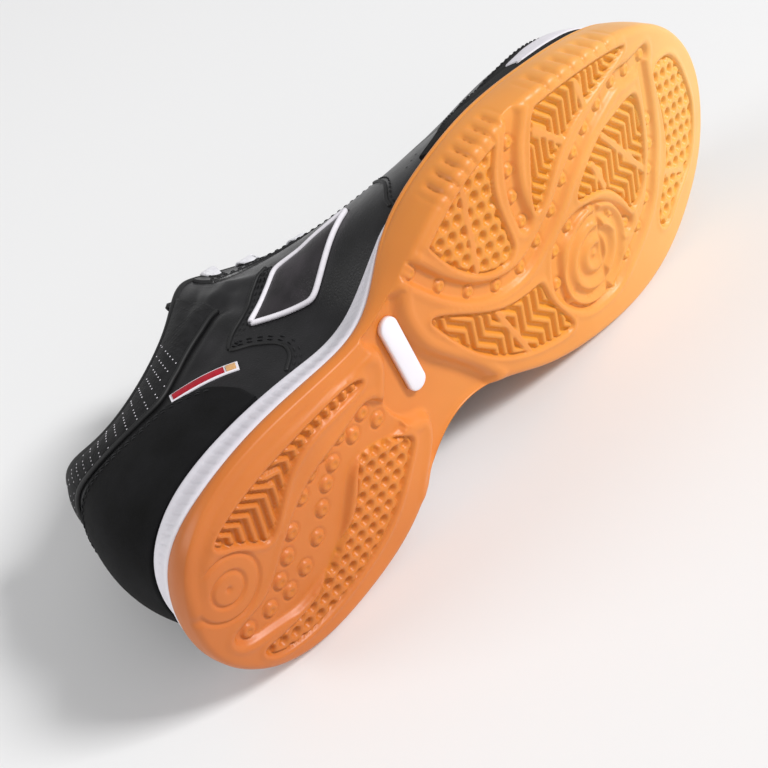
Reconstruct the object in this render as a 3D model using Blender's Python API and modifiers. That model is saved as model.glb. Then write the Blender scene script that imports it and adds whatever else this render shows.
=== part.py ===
"""Indoor soccer shoe, right foot, lying on its inner side.

The shoe is modelled upright in its own frame, in millimetres: X runs from heel to toe, Y to the
inner side of the foot and Z up from the floor. Every finished mesh is then laid down on its side
and turned into metres. Closed tables go round the shoe from the heel along the outer side to the
toe and back along the inner side, a row for each spoke.
"""

import math

import bmesh
import bpy
import numpy as np
from mathutils import Matrix, Vector
from mathutils.geometry import delaunay_2d_cdt

# Driving sizes, in millimetres
LENGTH = 280.0
BALL_WIDTH = 111.0
INSTEP_HEIGHT = 103.0
TONGUE_HEIGHT = 136.0

# Outsole
TOE_SPRING = 13.0
SPRING_START = 190.0
HEEL_BEVEL = 16.0
HEEL_LIFT = 2.0
OUTSOLE_FLOOR = 3.6
CUP_WALL = 2.4
TREAD_INSET = 4.0
CORNER_RISE = 3.0
CORNER_INSET = 1.4
CORNER_FOOT_RISE = 0.9
RIB_FOOT_SHARE = 0.3
WALL_FOOT_LEAN = 0.3
CHANNEL_DEPTH = 1.2
FIELD_DEPTH = 0.8
WAIST_DEPTH = 3.6
GROOVE_SLOPE = 1.0
RIB_DEPTH = 1.1
RIB_COUNT = 20

# Midsole and upper
HEEL_STACK = 23.5
BALL_STACK = 17.5
WALL = 2.0
GAP = 0.3
HEM_GAP = 0.7
LIP_GAP = 0.5
LIP_SHOWN = 1.0
LIP_EASE = 3.0
MIDSOLE_MARGIN = 0.8
MIDSOLE_BELLY_OUT = 0.6
MIDSOLE_BELLY_UP = 0.5
INSOLE_THICKNESS = 4.0
INSOLE_CLEARANCE = 1.5
TONGUE_THICKNESS = 4.0
OVERLAY = 1.0
OVERLAY_GAP = 0.5
LACE_WIDTH = 5.5
LACE_THICKNESS = 1.4
LACE_RISE = 5.0
LACE_STEPS = 5
LACE_CLEARANCE = 2.8
LACE_OVERHANG = 0.04
LACE_UP = (0.35, 0.0, 0.94)
INSERT_WIDTH = 7.0
INSERT_THICKNESS = 1.8
TAG_LENGTH = 22.0
TAG_WIDTH = 4.2
TAG_THICKNESS = 0.6

# Where the foot bed drops and the waist's roof rises, in shares of LENGTH
BED_DROP_START = 0.26
BED_DROP_SPAN = 0.28
WAIST_START = 0.24
WAIST_END = 0.50
WAIST_EASE = 0.06
MIDDLE_LINE = 0.01

# How far toe spring and heel bevel run on past their ends, in shares of their own length
SPRING_LIMIT = 1.1
BEVEL_LIMIT = 1.2

# Facets
RING_STEPS = 84
CIRCLE_STEPS = 16
CAPSULE_STEPS = 6
COUNTER_ROWS = 5
TOE_CAP_ROWS = 3
EYESTAY_ROWS = 3
PANEL_ROWS = 5
PANEL_COLUMNS = 10
TAG_COLUMNS = 6
TONGUE_COLUMNS = 9
SHARP_DEGREES = 40.0
RIB_STEPS = 2
UPPER_STEPS = 72
UPPER_RISE = 9
FILL_SPACING = 15.0
FLOOR_STATIONS = 26
STATION_OVERHANG = 0.02
RIM_CLEARANCE = 2.0
EDGE_CLEARANCE = 1.2

# Lying pose, in degrees
LEAN = 3.04
YAW = 0.0
PITCH = -2.41

MM = 0.001
CURVE_STEP = 0.001
NORMAL_STEP = 0.002

# Edge of the outsole: along and across as shares of LENGTH and BALL_WIDTH, the height of its wall
# in millimetres and how far the top of the wall leans in.
SOLE_RING = [
    # along, across, wall, lean
    (-0.004, 0.027, 11.5, 0.5),
    (0.021, -0.198, 11.0, 0.5),
    (0.086, -0.324, 7.2, 0.5),
    (0.171, -0.351, 7.0, 0.5),
    (0.257, -0.338, 7.0, 0.5),
    (0.339, -0.351, 8.5, 0.6),
    (0.421, -0.446, 16.5, 1.0),
    (0.507, -0.527, 17.5, 1.5),
    (0.600, -0.547, 19.0, 2.0),
    (0.693, -0.527, 19.0, 2.0),
    (0.786, -0.475, 20.5, 2.0),
    (0.877, -0.369, 25.0, 1.8),
    (0.950, -0.198, 30.0, 1.5),
    (0.984, 0.013, 33.0, 1.5),
    (0.958, 0.222, 31.0, 1.5),
    (0.889, 0.350, 26.0, 1.8),
    (0.804, 0.420, 21.0, 2.0),
    (0.711, 0.425, 20.0, 2.0),
    (0.621, 0.380, 20.0, 2.0),
    (0.534, 0.290, 17.0, 1.5),
    (0.450, 0.165, 11.0, 0.6),
    (0.366, 0.160, 9.5, 0.6),
    (0.280, 0.305, 7.5, 0.5),
    (0.179, 0.366, 7.0, 0.5),
    (0.088, 0.342, 9.0, 0.5),
    (0.022, 0.218, 11.0, 0.5),
]

# Line of the last at the hem of the upper, CUP_WALL outside the hem, and the collar and throat
# edge. The line is in shares of LENGTH and BALL_WIDTH, the edge in shares of LENGTH, BALL_WIDTH
# and INSTEP_HEIGHT.
UPPER_RING = [
    # hem along, hem across, edge along, edge across, edge height
    (0.004, 0.032, 0.052, 0.036, 0.870),
    (0.024, -0.155, 0.064, -0.108, 0.815),
    (0.086, -0.268, 0.100, -0.205, 0.690),
    (0.179, -0.295, 0.165, -0.250, 0.675),
    (0.265, -0.276, 0.243, -0.265, 0.770),
    (0.343, -0.285, 0.307, -0.245, 0.918),
    (0.424, -0.428, 0.354, -0.180, 0.985),
    (0.509, -0.503, 0.407, -0.131, 0.942),
    (0.600, -0.518, 0.471, -0.113, 0.845),
    (0.691, -0.498, 0.536, -0.104, 0.767),
    (0.782, -0.448, 0.589, -0.090, 0.709),
    (0.870, -0.346, 0.625, -0.072, 0.680),
    (0.940, -0.183, 0.646, -0.045, 0.660),
    (0.974, 0.015, 0.654, -0.014, 0.655),
    (0.949, 0.208, 0.646, 0.018, 0.660),
    (0.883, 0.327, 0.625, 0.045, 0.680),
    (0.801, 0.392, 0.589, 0.068, 0.709),
    (0.711, 0.396, 0.536, 0.090, 0.767),
    (0.625, 0.352, 0.471, 0.113, 0.845),
    (0.538, 0.265, 0.407, 0.144, 0.942),
    (0.447, 0.262, 0.354, 0.216, 1.000),
    (0.358, 0.288, 0.307, 0.290, 0.930),
    (0.270, 0.314, 0.243, 0.325, 0.785),
    (0.180, 0.330, 0.165, 0.315, 0.710),
    (0.088, 0.305, 0.095, 0.272, 0.740),
    (0.024, 0.205, 0.060, 0.180, 0.845),
]

# Fullness of the upper between hem and edge: how far its curve leaves the hem outward and upward,
# and how far it reaches past the edge along, outward and downward, in millimetres.
UPPER_SWELL = [
    # hem out, hem up, edge along, edge out, edge down
    (7.0, 26.0, -7.0, 0.0, 24.0),
    (6.5, 26.0, -5.0, 2.0, 22.0),
    (4.0, 24.0, -2.0, 4.0, 18.0),
    (3.0, 20.0, 0.0, 4.0, 16.0),
    (2.5, 22.0, 0.0, 6.0, 18.0),
    (1.0, 22.0, 0.0, 3.0, 20.0),
    (0.0, 17.0, 0.0, 0.0, 20.0),
    (-0.4, 13.0, 0.0, 0.0, 13.0),
    (-0.5, 12.0, 2.0, 3.0, 9.0),
    (-0.3, 14.0, 8.0, 9.0, 6.0),
    (1.0, 21.0, 20.0, 16.0, 4.0),
    (4.0, 28.0, 38.0, 22.0, 3.0),
    (4.5, 27.0, 48.0, 12.0, 4.0),
    (4.0, 25.0, 50.0, 0.0, 4.0),
    (4.5, 27.0, 48.0, 12.0, 4.0),
    (4.0, 28.0, 38.0, 22.0, 3.0),
    (1.5, 25.0, 20.0, 20.0, 4.0),
    (0.0, 24.0, 8.0, 20.0, 4.0),
    (0.0, 24.0, 4.0, 18.0, 6.0),
    (0.0, 26.0, 4.0, 16.0, 10.0),
    (2.0, 30.0, 2.0, 16.0, 16.0),
    (2.0, 26.0, 0.0, 10.0, 20.0),
    (2.5, 22.0, 0.0, 6.0, 18.0),
    (3.0, 20.0, 0.0, 4.0, 16.0),
    (4.0, 22.0, 0.0, 3.0, 18.0),
    (6.5, 26.0, -5.0, 2.0, 22.0),
]

# Outlines of the tread's recesses, along and across in shares of LENGTH and BALL_WIDTH
WAIST_RECESS = [
    (0.27, -0.44), (0.30, -0.32), (0.322, -0.25), (0.310, -0.17), (0.300, -0.10), (0.318, 0.0),
    (0.346, 0.05), (0.33, 0.16), (0.30, 0.30), (0.36, 0.42), (0.46, 0.30), (0.448, 0.10),
    (0.408, -0.05), (0.378, -0.17), (0.372, -0.32), (0.390, -0.46), (0.34, -0.60),
]
HEEL_CHANNEL = [
    (0.296, -0.16), (0.246, -0.166), (0.189, -0.14), (0.137, -0.07), (0.090, 0.027),
    (0.058, 0.054), (0.028, 0.066), (0.030, 0.118), (0.062, 0.150), (0.104, 0.184),
    (0.143, 0.176), (0.172, 0.150), (0.214, 0.030), (0.254, -0.042), (0.314, 0.0),
]
OUTER_HEEL_FIELD = [
    (0.061, -0.22), (0.105, -0.262), (0.160, -0.276), (0.225, -0.278), (0.275, -0.268),
    (0.282, -0.24), (0.228, -0.24), (0.186, -0.225), (0.150, -0.17), (0.114, -0.092),
    (0.086, -0.15),
]
INNER_HEEL_FIELD = [
    (0.311, 0.03), (0.304, 0.095), (0.254, 0.212), (0.190, 0.272), (0.118, 0.286),
    (0.058, 0.245), (0.044, 0.19), (0.070, 0.196), (0.125, 0.196), (0.164, 0.144),
    (0.211, 0.075), (0.236, -0.018), (0.268, -0.044),
]
OUTER_WAIST_FIELD = [
    (0.555, -0.50), (0.500, -0.528), (0.450, -0.468), (0.434, -0.38), (0.450, -0.306),
    (0.475, -0.23), (0.520, -0.156), (0.543, -0.205), (0.540, -0.33), (0.547, -0.44),
]
OUTER_BALL_FIELD = [
    (0.805, -0.41), (0.736, -0.465), (0.672, -0.51), (0.632, -0.50), (0.611, -0.41),
    (0.596, -0.30), (0.590, -0.22), (0.608, -0.22), (0.646, -0.305), (0.690, -0.36),
    (0.750, -0.385),
]
MIDDLE_BALL_FIELD = [
    (0.797, -0.25), (0.750, -0.25), (0.711, -0.225), (0.662, -0.125), (0.710, -0.063),
    (0.745, 0.055), (0.758, 0.10), (0.786, 0.055), (0.808, -0.08), (0.812, -0.20),
]
TOE_FIELD = [
    (0.902, -0.215), (0.866, -0.235), (0.860, -0.17), (0.860, 0.0), (0.838, 0.135),
    (0.808, 0.235), (0.820, 0.30), (0.860, 0.26), (0.912, 0.205), (0.942, 0.10),
    (0.946, 0.0), (0.930, -0.13),
]
INNER_WAIST_FIELD = [
    (0.400, -0.215), (0.436, -0.153), (0.493, -0.045), (0.546, 0.0), (0.568, 0.02),
    (0.576, 0.11), (0.598, 0.24), (0.570, 0.245), (0.500, 0.155), (0.443, 0.01),
    (0.410, -0.14),
]
FIELDS = [
    OUTER_HEEL_FIELD, INNER_HEEL_FIELD, OUTER_WAIST_FIELD, OUTER_BALL_FIELD,
    MIDDLE_BALL_FIELD, TOE_FIELD, INNER_WAIST_FIELD,
]

# Centre lines of the dome channels, in the same shares
LONG_CHANNEL = [
    (0.400, -0.39), (0.428, -0.27), (0.464, -0.171), (0.504, -0.117), (0.546, -0.09),
    (0.586, -0.117), (0.650, -0.216), (0.707, -0.297), (0.775, -0.342), (0.846, -0.315),
]
CROSS_CHANNEL = [(0.611, -0.568), (0.586, -0.468), (0.571, -0.387), (0.571, -0.216)]
LOOP_CHANNEL = [
    (0.832, -0.30), (0.825, -0.018), (0.811, 0.054), (0.764, 0.189), (0.689, 0.270),
    (0.639, 0.243), (0.607, 0.171), (0.600, 0.0), (0.639, -0.063), (0.679, -0.045),
    (0.739, 0.126),
]
CHANNELS = [LONG_CHANNEL, CROSS_CHANNEL, LOOP_CHANNEL]
CHANNEL_WIDTH = 6.0

# Turning rings: centre along and across as shares, radius of the groove's middle in millimetres
RINGS = [(0.668, 0.108, 14.5), (0.668, 0.108, 8.0), (0.0486, -0.077, 8.3), (0.0486, -0.077, 4.6)]
RING_GROOVE = 1.6
RING_DEPTH = 0.8


# Centre line of the tongue from its root under the vamp to its top: along as a share of LENGTH,
# height as a share of TONGUE_HEIGHT, half width as a share of BALL_WIDTH, and how far its edges
# hang below its middle, in millimetres.
TONGUE_ROWS = [
    # along, height, half width, crown
    (0.716, 0.416, 0.120, 3.0),
    (0.660, 0.440, 0.165, 5.0),
    (0.595, 0.486, 0.190, 7.0),
    (0.525, 0.520, 0.185, 8.0),
    (0.455, 0.580, 0.175, 8.0),
    (0.405, 0.632, 0.168, 8.0),
    (0.366, 0.692, 0.163, 7.0),
    (0.348, 0.760, 0.158, 6.0),
    (0.340, 0.805, 0.145, 5.0),
    (0.342, 0.840, 0.115, 5.0),
]
TONGUE_MIDDLE = 0.018

# Overlays on the upper. Places count spokes of UPPER_RING, rises go from 0 at the hem to 1.
COUNTER_TOP = [
    # spoke, rise of the top edge
    (-3.4, 0.10), (-3.2, 0.30), (-2.8, 0.48), (-1.7, 0.60), (0.0, 0.66),
    (0.8, 0.68), (1.7, 0.64), (2.3, 0.57), (2.8, 0.50), (3.2, 0.33), (3.4, 0.12),
]
TOE_CAP_TOP = [
    (7.2, 0.11), (8.0, 0.15), (9.5, 0.20), (11.0, 0.27), (13.0, 0.30),
    (15.0, 0.27), (16.5, 0.20), (18.0, 0.15), (18.8, 0.11),
]
EYESTAY_FOOT = [(5.6, 0.82), (7.5, 0.76), (9.5, 0.76), (11.4, 0.80)]
EYESTAY_TOP = 0.975
OVERLAY_FOOT = 0.02
TOE_CAP_LIFT = 0.07
PANEL_CORNERS = [(4.70, 0.29), (6.50, 0.22), (6.60, 0.34), (4.90, 0.44)]
TAG_ENDS = [(2.96, 0.525), (3.71, 0.265)]
EYELET_SPOKES = [11.0, 10.0, 9.0, 8.0, 7.0, 6.1]
EYELET_RISE = 0.95

# Ends of the shank insert, in shares of LENGTH and BALL_WIDTH
INSERT_ENDS = [(0.349, -0.295), (0.356, -0.080)]


def smooth_step(value):
    """Ease from 0 to 1 as VALUE goes from 0 to 1."""
    value = np.clip(value, 0.0, 1.0)
    return value * value * (3.0 - 2.0 * value)


def round_table(rows, places):
    """Read a closed table at PLACES (0 to 1 round the shoe) along a cubic spline through its rows."""
    rows = np.array(rows, float)
    count = len(rows)
    following = np.roll(rows, -1, axis=0)
    preceding = np.roll(rows, 1, axis=0)
    unit = np.eye(count)
    system = 4.0 * unit + np.roll(unit, 1, axis=1) + np.roll(unit, -1, axis=1)
    slopes = np.linalg.solve(system, 3.0 * (following - preceding))
    places = np.asarray(places, float) % 1.0 * count
    start = np.floor(places).astype(int) % count
    end = (start + 1) % count
    t = (places - np.floor(places))[:, None]
    return (
        (2.0 * t**3 - 3.0 * t**2 + 1.0) * rows[start]
        + (t**3 - 2.0 * t**2 + t) * slopes[start]
        + (3.0 * t**2 - 2.0 * t**3) * rows[end]
        + (t**3 - t**2) * slopes[end]
    )


def ring_normals(ring):
    """Outward unit normals at the points of a plan ring, whichever way it runs."""
    along = np.roll(ring, -1, axis=0) - np.roll(ring, 1, axis=0)
    normals = np.stack([along[:, 1], -along[:, 0]], axis=1)
    normals /= np.linalg.norm(normals, axis=1)[:, None]
    area = np.sum(ring[:, 0] * np.roll(ring[:, 1], -1) - ring[:, 1] * np.roll(ring[:, 0], -1))
    return normals if area > 0.0 else -normals


def plan_curve(table, places):
    """Points and outward normals of a closed table's first two columns, shares of the plan."""
    shares = [row[:2] for row in table]
    size = np.array([LENGTH, BALL_WIDTH])
    points = round_table(shares, places) * size
    ahead = round_table(shares, places + CURVE_STEP) * size
    back = round_table(shares, places - CURVE_STEP) * size
    along = ahead - back
    normals = np.stack([along[:, 1], -along[:, 0]], axis=1)
    return points, normals / np.linalg.norm(normals, axis=1)[:, None]


def outline(shares):
    """An outline of a table of shares, in millimetres."""
    return np.array([(row[0] * LENGTH, row[1] * BALL_WIDTH) for row in shares])


def ground(x):
    """Height of the tread above the floor from toe spring and heel bevel."""
    toe = TOE_SPRING * np.clip((x - SPRING_START) / (LENGTH - SPRING_START), 0.0, SPRING_LIMIT) ** 2
    heel = HEEL_LIFT * np.clip((HEEL_BEVEL - x) / HEEL_BEVEL, 0.0, BEVEL_LIMIT) ** 2
    return toe + heel


STATIONS = np.linspace(-STATION_OVERHANG, 1.0 + STATION_OVERHANG, FLOOR_STATIONS) * LENGTH


def foot_bed(x):
    """Height of the midsole's top, straight between stations."""
    drop = smooth_step((STATIONS / LENGTH - BED_DROP_START) / BED_DROP_SPAN)
    heights = HEEL_STACK + (BALL_STACK - HEEL_STACK) * drop + ground(STATIONS)
    return np.interp(x, STATIONS, heights)


def cup_floor(x):
    """Height of the floor inside the cup of the outsole, raised over the waist recess."""
    share = STATIONS / LENGTH
    rise = smooth_step((share - WAIST_START) / WAIST_EASE)
    rise *= smooth_step((WAIST_END - share) / WAIST_EASE)
    return np.interp(x, STATIONS, ground(STATIONS) + OUTSOLE_FLOOR + WAIST_DEPTH * rise)


def station_lines(rim):
    """Lines across a plan ring at each station, ending just inside it."""
    lines = []
    for x in STATIONS:
        crossings = []
        for a, b in zip(rim, np.roll(rim, -1, axis=0)):
            if (a[0] > x) != (b[0] > x):
                crossings.append(a[1] + (x - a[0]) * (b[1] - a[1]) / (b[0] - a[0]))
        if len(crossings) != 2:
            continue
        low, high = min(crossings) + RIM_CLEARANCE, max(crossings) - RIM_CLEARANCE
        if high - low > RIM_CLEARANCE:
            count = max(2, round((high - low) / FILL_SPACING) + 1)
            ys = np.linspace(low, high, count)
            lines.append((np.column_stack([np.full(count, x), ys]), False))
    return lines


def distance_to_line(points, line):
    """Distance of POINTS to an open line through the rows of LINE."""
    best = np.full(len(points), 1e9)
    for a, b in zip(line[:-1], line[1:]):
        side = b - a
        share = np.clip(((points - a) @ side) / (side @ side), 0.0, 1.0)
        gap = points - a - share[:, None] * side
        best = np.minimum(best, np.hypot(gap[:, 0], gap[:, 1]))
    return best


def inside(points, loop):
    """Which POINTS lie in the closed LOOP."""
    found = np.zeros(len(points), bool)
    for a, b in zip(loop, np.roll(loop, -1, axis=0)):
        if a[1] == b[1]:
            continue
        crosses = (a[1] > points[:, 1]) != (b[1] > points[:, 1])
        at = a[0] + (points[:, 1] - a[1]) * (b[0] - a[0]) / (b[1] - a[1])
        found ^= crosses & (points[:, 0] < at)
    return found


def depth_in_loop(points, loop):
    """How far inside the closed LOOP each point lies, negative outside."""
    far = distance_to_line(points, np.vstack([loop, loop[:1]]))
    return np.where(inside(points, loop), far, -far)


def round_loop(shares, steps):
    """A smooth closed outline through a table of shares."""
    places = np.arange(steps) / steps
    return round_table(outline(shares), places)


def smooth_line(shares, steps):
    """A smooth open line through a table of shares, as a Catmull-Rom curve."""
    rows = outline(shares)
    rows = np.vstack([2.0 * rows[0] - rows[1], rows, 2.0 * rows[-1] - rows[-2]])
    made = []
    for i in range(1, len(rows) - 2):
        before, start, end, after = rows[i - 1:i + 3]
        for t in np.arange(steps) / steps:
            made.append(0.5 * (
                2.0 * start + (end - before) * t
                + (2.0 * before - 5.0 * start + 4.0 * end - after) * t**2
                + (3.0 * start - before - 3.0 * end + after) * t**3
            ))
    made.append(rows[-2])
    return np.array(made)


FIELD_LOOPS = [round_loop(shares, 2 * len(shares)) for shares in FIELDS]
WAIST_LOOP = round_loop(WAIST_RECESS, 2 * len(WAIST_RECESS))
HEEL_CHANNEL_LOOP = round_loop(HEEL_CHANNEL, 2 * len(HEEL_CHANNEL))
CHANNEL_LINES = [smooth_line(shares, 2) for shares in CHANNELS]


def relief(points):
    """How far the tread is cut back at each point."""
    cut = WAIST_DEPTH * np.clip(depth_in_loop(points, WAIST_LOOP) / GROOVE_SLOPE / 2.0, 0.0, 1.0)
    parts = [(HEEL_CHANNEL_LOOP, CHANNEL_DEPTH)] + [(loop, FIELD_DEPTH) for loop in FIELD_LOOPS]
    for loop, depth in parts:
        share = np.clip(depth_in_loop(points, loop) / GROOVE_SLOPE, 0.0, 1.0)
        cut = np.maximum(cut, depth * share)
    for line in CHANNEL_LINES:
        share = (CHANNEL_WIDTH / 2.0 - distance_to_line(points, line)) / GROOVE_SLOPE
        cut = np.maximum(cut, CHANNEL_DEPTH * np.clip(share, 0.0, 1.0))
    for along, across, radius in RINGS:
        centre = np.array([along * LENGTH, across * BALL_WIDTH])
        off = np.abs(np.hypot(*(points - centre).T) - radius)
        share = (RING_GROOVE - off) / (RING_GROOVE / 2.0)
        cut = np.maximum(cut, RING_DEPTH * np.clip(share, 0.0, 1.0))
    return cut


def tread(points):
    """Height of the tread, its recesses included."""
    return ground(points[:, 0]) + relief(points)


def relief_edges():
    """The lines along which the tread changes its slope, as closed or open lines."""
    edges = []
    for loop, slope in [(WAIST_LOOP, 2.0 * GROOVE_SLOPE), (HEEL_CHANNEL_LOOP, GROOVE_SLOPE)]:
        edges.append((loop, True))
        edges.append((loop - slope * ring_normals(loop), True))
    for loop in FIELD_LOOPS:
        edges.append((loop, True))
        edges.append((loop - GROOVE_SLOPE * ring_normals(loop), True))
    for line in CHANNEL_LINES:
        turn = np.gradient(line, axis=0)
        turn /= np.linalg.norm(turn, axis=1)[:, None]
        side = np.stack([-turn[:, 1], turn[:, 0]], axis=1)
        for width in (CHANNEL_WIDTH / 2.0, CHANNEL_WIDTH / 2.0 - GROOVE_SLOPE):
            edges.append((line + width * side, False))
            edges.append((line - width * side, False))
    for along, across, radius in RINGS:
        for width in (RING_GROOVE, RING_GROOVE / 2.0, -RING_GROOVE / 2.0, -RING_GROOVE):
            angles = np.arange(CIRCLE_STEPS) / CIRCLE_STEPS * 2.0 * math.pi
            circle = np.stack([np.cos(angles), np.sin(angles)], axis=1) * (radius + width)
            edges.append((circle + np.array([along * LENGTH, across * BALL_WIDTH]), True))
    return edges


class Shell:
    """Collects the points and faces of one closed body."""

    def __init__(self):
        self.points = []
        self.faces = []

    def add(self, points):
        """Add points and return their numbers."""
        first = len(self.points)
        self.points.extend([tuple(map(float, point)) for point in points])
        return list(range(first, len(self.points)))

    def bridge(self, lower, upper, closed=True):
        """Join two rings of the same length with quads."""
        count = len(lower)
        for i in range(count if closed else count - 1):
            j = (i + 1) % count
            self.faces.append((lower[i], lower[j], upper[j], upper[i]))

    def fill(self, ring, height, edges=(), grid=True):
        """Fill a plan ring with triangles that follow HEIGHT and the given EDGES."""
        rim = np.array([self.points[i][:2] for i in ring])
        flat = [tuple(point) for point in rim]
        links = [(i, (i + 1) % len(rim)) for i in range(len(rim))]
        for line, closed in edges:
            keep = depth_in_loop(line, rim) > EDGE_CLEARANCE
            first = len(flat)
            flat.extend(tuple(point) for point in line)
            count = len(line)
            for i in range(count if closed else count - 1):
                j = (i + 1) % count
                if keep[i] and keep[j]:
                    links.append((first + i, first + j))
        flat, links = self.drop_unlinked(flat, links, len(rim))
        if grid:
            flat.extend(self.grid(rim, flat, FILL_SPACING))
        corners, _, faces, sources, _, _ = delaunay_2d_cdt(
            [Vector(point) for point in flat], links, [], 1, 1e-5
        )
        plan = np.array([tuple(corner) for corner in corners])
        tops = height(plan)
        numbers = []
        for corner, top, source in zip(plan, tops, sources):
            on_rim = [i for i in source if i < len(rim)]
            if on_rim:
                numbers.append(ring[on_rim[0]])
            else:
                numbers.extend(self.add([(corner[0], corner[1], top)]))
        for face in faces:
            self.faces.append(tuple(numbers[i] for i in face))

    @staticmethod
    def drop_unlinked(flat, links, rim_count):
        """Keep the rim and the points that a link uses."""
        used = set(range(rim_count))
        for a, b in links:
            used.update((a, b))
        order = {old: new for new, old in enumerate(sorted(used))}
        return [flat[old] for old in sorted(used)], [(order[a], order[b]) for a, b in links]

    @staticmethod
    def grid(rim, taken, spacing):
        """Even points inside the rim, clear of those already taken."""
        low = rim.min(axis=0)
        high = rim.max(axis=0)
        xs = np.arange(low[0] + spacing / 2.0, high[0], spacing)
        ys = np.arange(low[1] + spacing / 2.0, high[1], spacing)
        points = np.array([(x, y) for x in xs for y in ys])
        points = points[depth_in_loop(points, rim) > spacing / 3.0]
        taken = np.array(taken)
        clear = [np.min(np.hypot(*(taken - point).T)) > spacing / 2.5 for point in points]
        return [tuple(point) for point in points[np.array(clear, bool)]]


def lying_matrix():
    """Turn of the upright shoe onto its inner side."""
    onto_side = Matrix.Rotation(math.radians(-90.0 - LEAN), 4, "X")
    yaw = Matrix.Rotation(math.radians(YAW), 4, "Z")
    pitch = Matrix.Rotation(math.radians(PITCH), 4, "Y")
    return pitch @ yaw @ onto_side


def make_material(name, colour, roughness, metallic=0.0):
    """A plain Principled material."""
    material = bpy.data.materials.new(name)
    material.use_nodes = True
    shader = material.node_tree.nodes["Principled BSDF"]
    shader.inputs["Base Color"].default_value = (*colour, 1.0)
    shader.inputs["Roughness"].default_value = roughness
    shader.inputs["Metallic"].default_value = metallic
    return material


def make_object(name, shell, material, collection, solid=None):
    """Turn a shell into a Blender object; SOLID is the thickness of an open one."""
    mesh = bpy.data.meshes.new(name)
    mesh.from_pydata([[c * MM for c in point] for point in shell.points], [], shell.faces)
    work = bmesh.new()
    work.from_mesh(mesh)
    bmesh.ops.remove_doubles(work, verts=work.verts, dist=1e-6)
    if solid is None:
        bmesh.ops.recalc_face_normals(work, faces=work.faces)
    work.to_mesh(mesh)
    work.free()
    mesh.materials.append(material)
    mesh.shade_smooth()
    mesh.set_sharp_from_angle(angle=math.radians(SHARP_DEGREES))
    thing = bpy.data.objects.new(name, mesh)
    collection.objects.link(thing)
    if solid is not None:
        wall = thing.modifiers.new("wall", "SOLIDIFY")
        wall.thickness = abs(solid) * MM
        wall.offset = math.copysign(1.0, solid)
        wall.use_even_offset = True
        wall.use_quality_normals = True
    return thing


def spoke_places():
    """Places round the sole: even steps, closer where the side has ribs."""
    places = list(np.arange(RING_STEPS) / RING_STEPS)
    start, end = rib_range()
    places = [place for place in places if not start <= place <= end]
    places.extend(start + (end - start) * np.arange(RIB_COUNT * RIB_STEPS + 1)
                  / (RIB_COUNT * RIB_STEPS))
    return np.array(sorted(places))


def rib_range():
    """First and last place of the ribbed stretch on the outer side of the ball."""
    return 6.0 / len(SOLE_RING), 10.4 / len(SOLE_RING)


def rib_inset(places):
    """How far the side is cut in between the ribs."""
    start, end = rib_range()
    share = (places - start) / (end - start)
    wave = 0.5 - 0.5 * np.cos(2.0 * math.pi * RIB_COUNT * share)
    return np.where((share >= 0.0) & (share <= 1.0), RIB_DEPTH * wave, 0.0)


def sole_rings(places):
    """Edge ring of the outsole with its normals, wall height and lean."""
    ring, normals = plan_curve(SOLE_RING, places)
    rows = round_table(SOLE_RING, places)
    return ring, normals, rows[:, 2], rows[:, 3]


def level_ring(ring, heights):
    """A plan ring at the given heights."""
    return np.column_stack([ring, heights])


def build_outsole(collection, material):
    """Gum cup sole: tread below, ribbed side wall, cup for the midsole."""
    places = spoke_places()
    ring, normals, wall, lean = sole_rings(places)
    ribs = rib_inset(places)
    shell = Shell()
    edge = ring - normals * (TREAD_INSET + ribs * RIB_FOOT_SHARE)[:, None]
    base = tread(edge)
    rows = [level_ring(edge, base)]
    for inset, rise in ((CORNER_INSET, CORNER_FOOT_RISE), (0.0, CORNER_RISE)):
        rows.append(level_ring(ring - normals * (inset + ribs)[:, None], base + rise))
    half_way = (base + CORNER_RISE + wall) / 2.0
    rows.append(level_ring(ring - normals * (lean * WALL_FOOT_LEAN)[:, None], half_way))
    rows.append(level_ring(ring - normals * lean[:, None], wall))
    inner = ring - normals * (lean + CUP_WALL)[:, None]
    rows.append(level_ring(inner, wall))
    rows.append(level_ring(inner, cup_floor(inner[:, 0])))
    numbers = [shell.add(row) for row in rows]
    for lower, upper in zip(numbers[:-1], numbers[1:]):
        shell.bridge(lower, upper)
    shell.fill(numbers[0], tread, relief_edges())
    shell.fill(numbers[-1], lambda plan: cup_floor(plan[:, 0]), station_lines(inner), grid=False)
    return make_object("outsole", shell, material, collection)


def midsole_rows(places):
    """Rings of the midsole from the bottom of the cup to the foot bed."""
    ring, normals, wall, lean = sole_rings(places)
    inner = ring - normals * (lean + CUP_WALL + GAP)[:, None]
    hem, hem_normals = hem_ring(places)
    bed = foot_bed(hem[:, 0])
    lip = wall + LIP_GAP
    shown = smooth_step((bed - lip - LIP_SHOWN) / LIP_EASE)[:, None]
    outer = inner + (ring - normals * lean[:, None] - inner) * shown
    low = np.minimum(lip, bed - LIP_SHOWN)
    margin = hem_normals * MIDSOLE_MARGIN
    top = inner + (hem + margin - inner) * shown
    return [
        level_ring(inner, cup_floor(inner[:, 0]) + GAP),
        level_ring(inner, low),
        level_ring(outer, low),
        level_ring(outer + (top - outer) * MIDSOLE_BELLY_OUT, low + (bed - low) * MIDSOLE_BELLY_UP),
        level_ring(top, bed),
    ]


def hem_ring(places):
    """Plan ring of the upper's hem and its outward normals."""
    line, normals = plan_curve(UPPER_RING, places)
    return line - normals * CUP_WALL, normals


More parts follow.
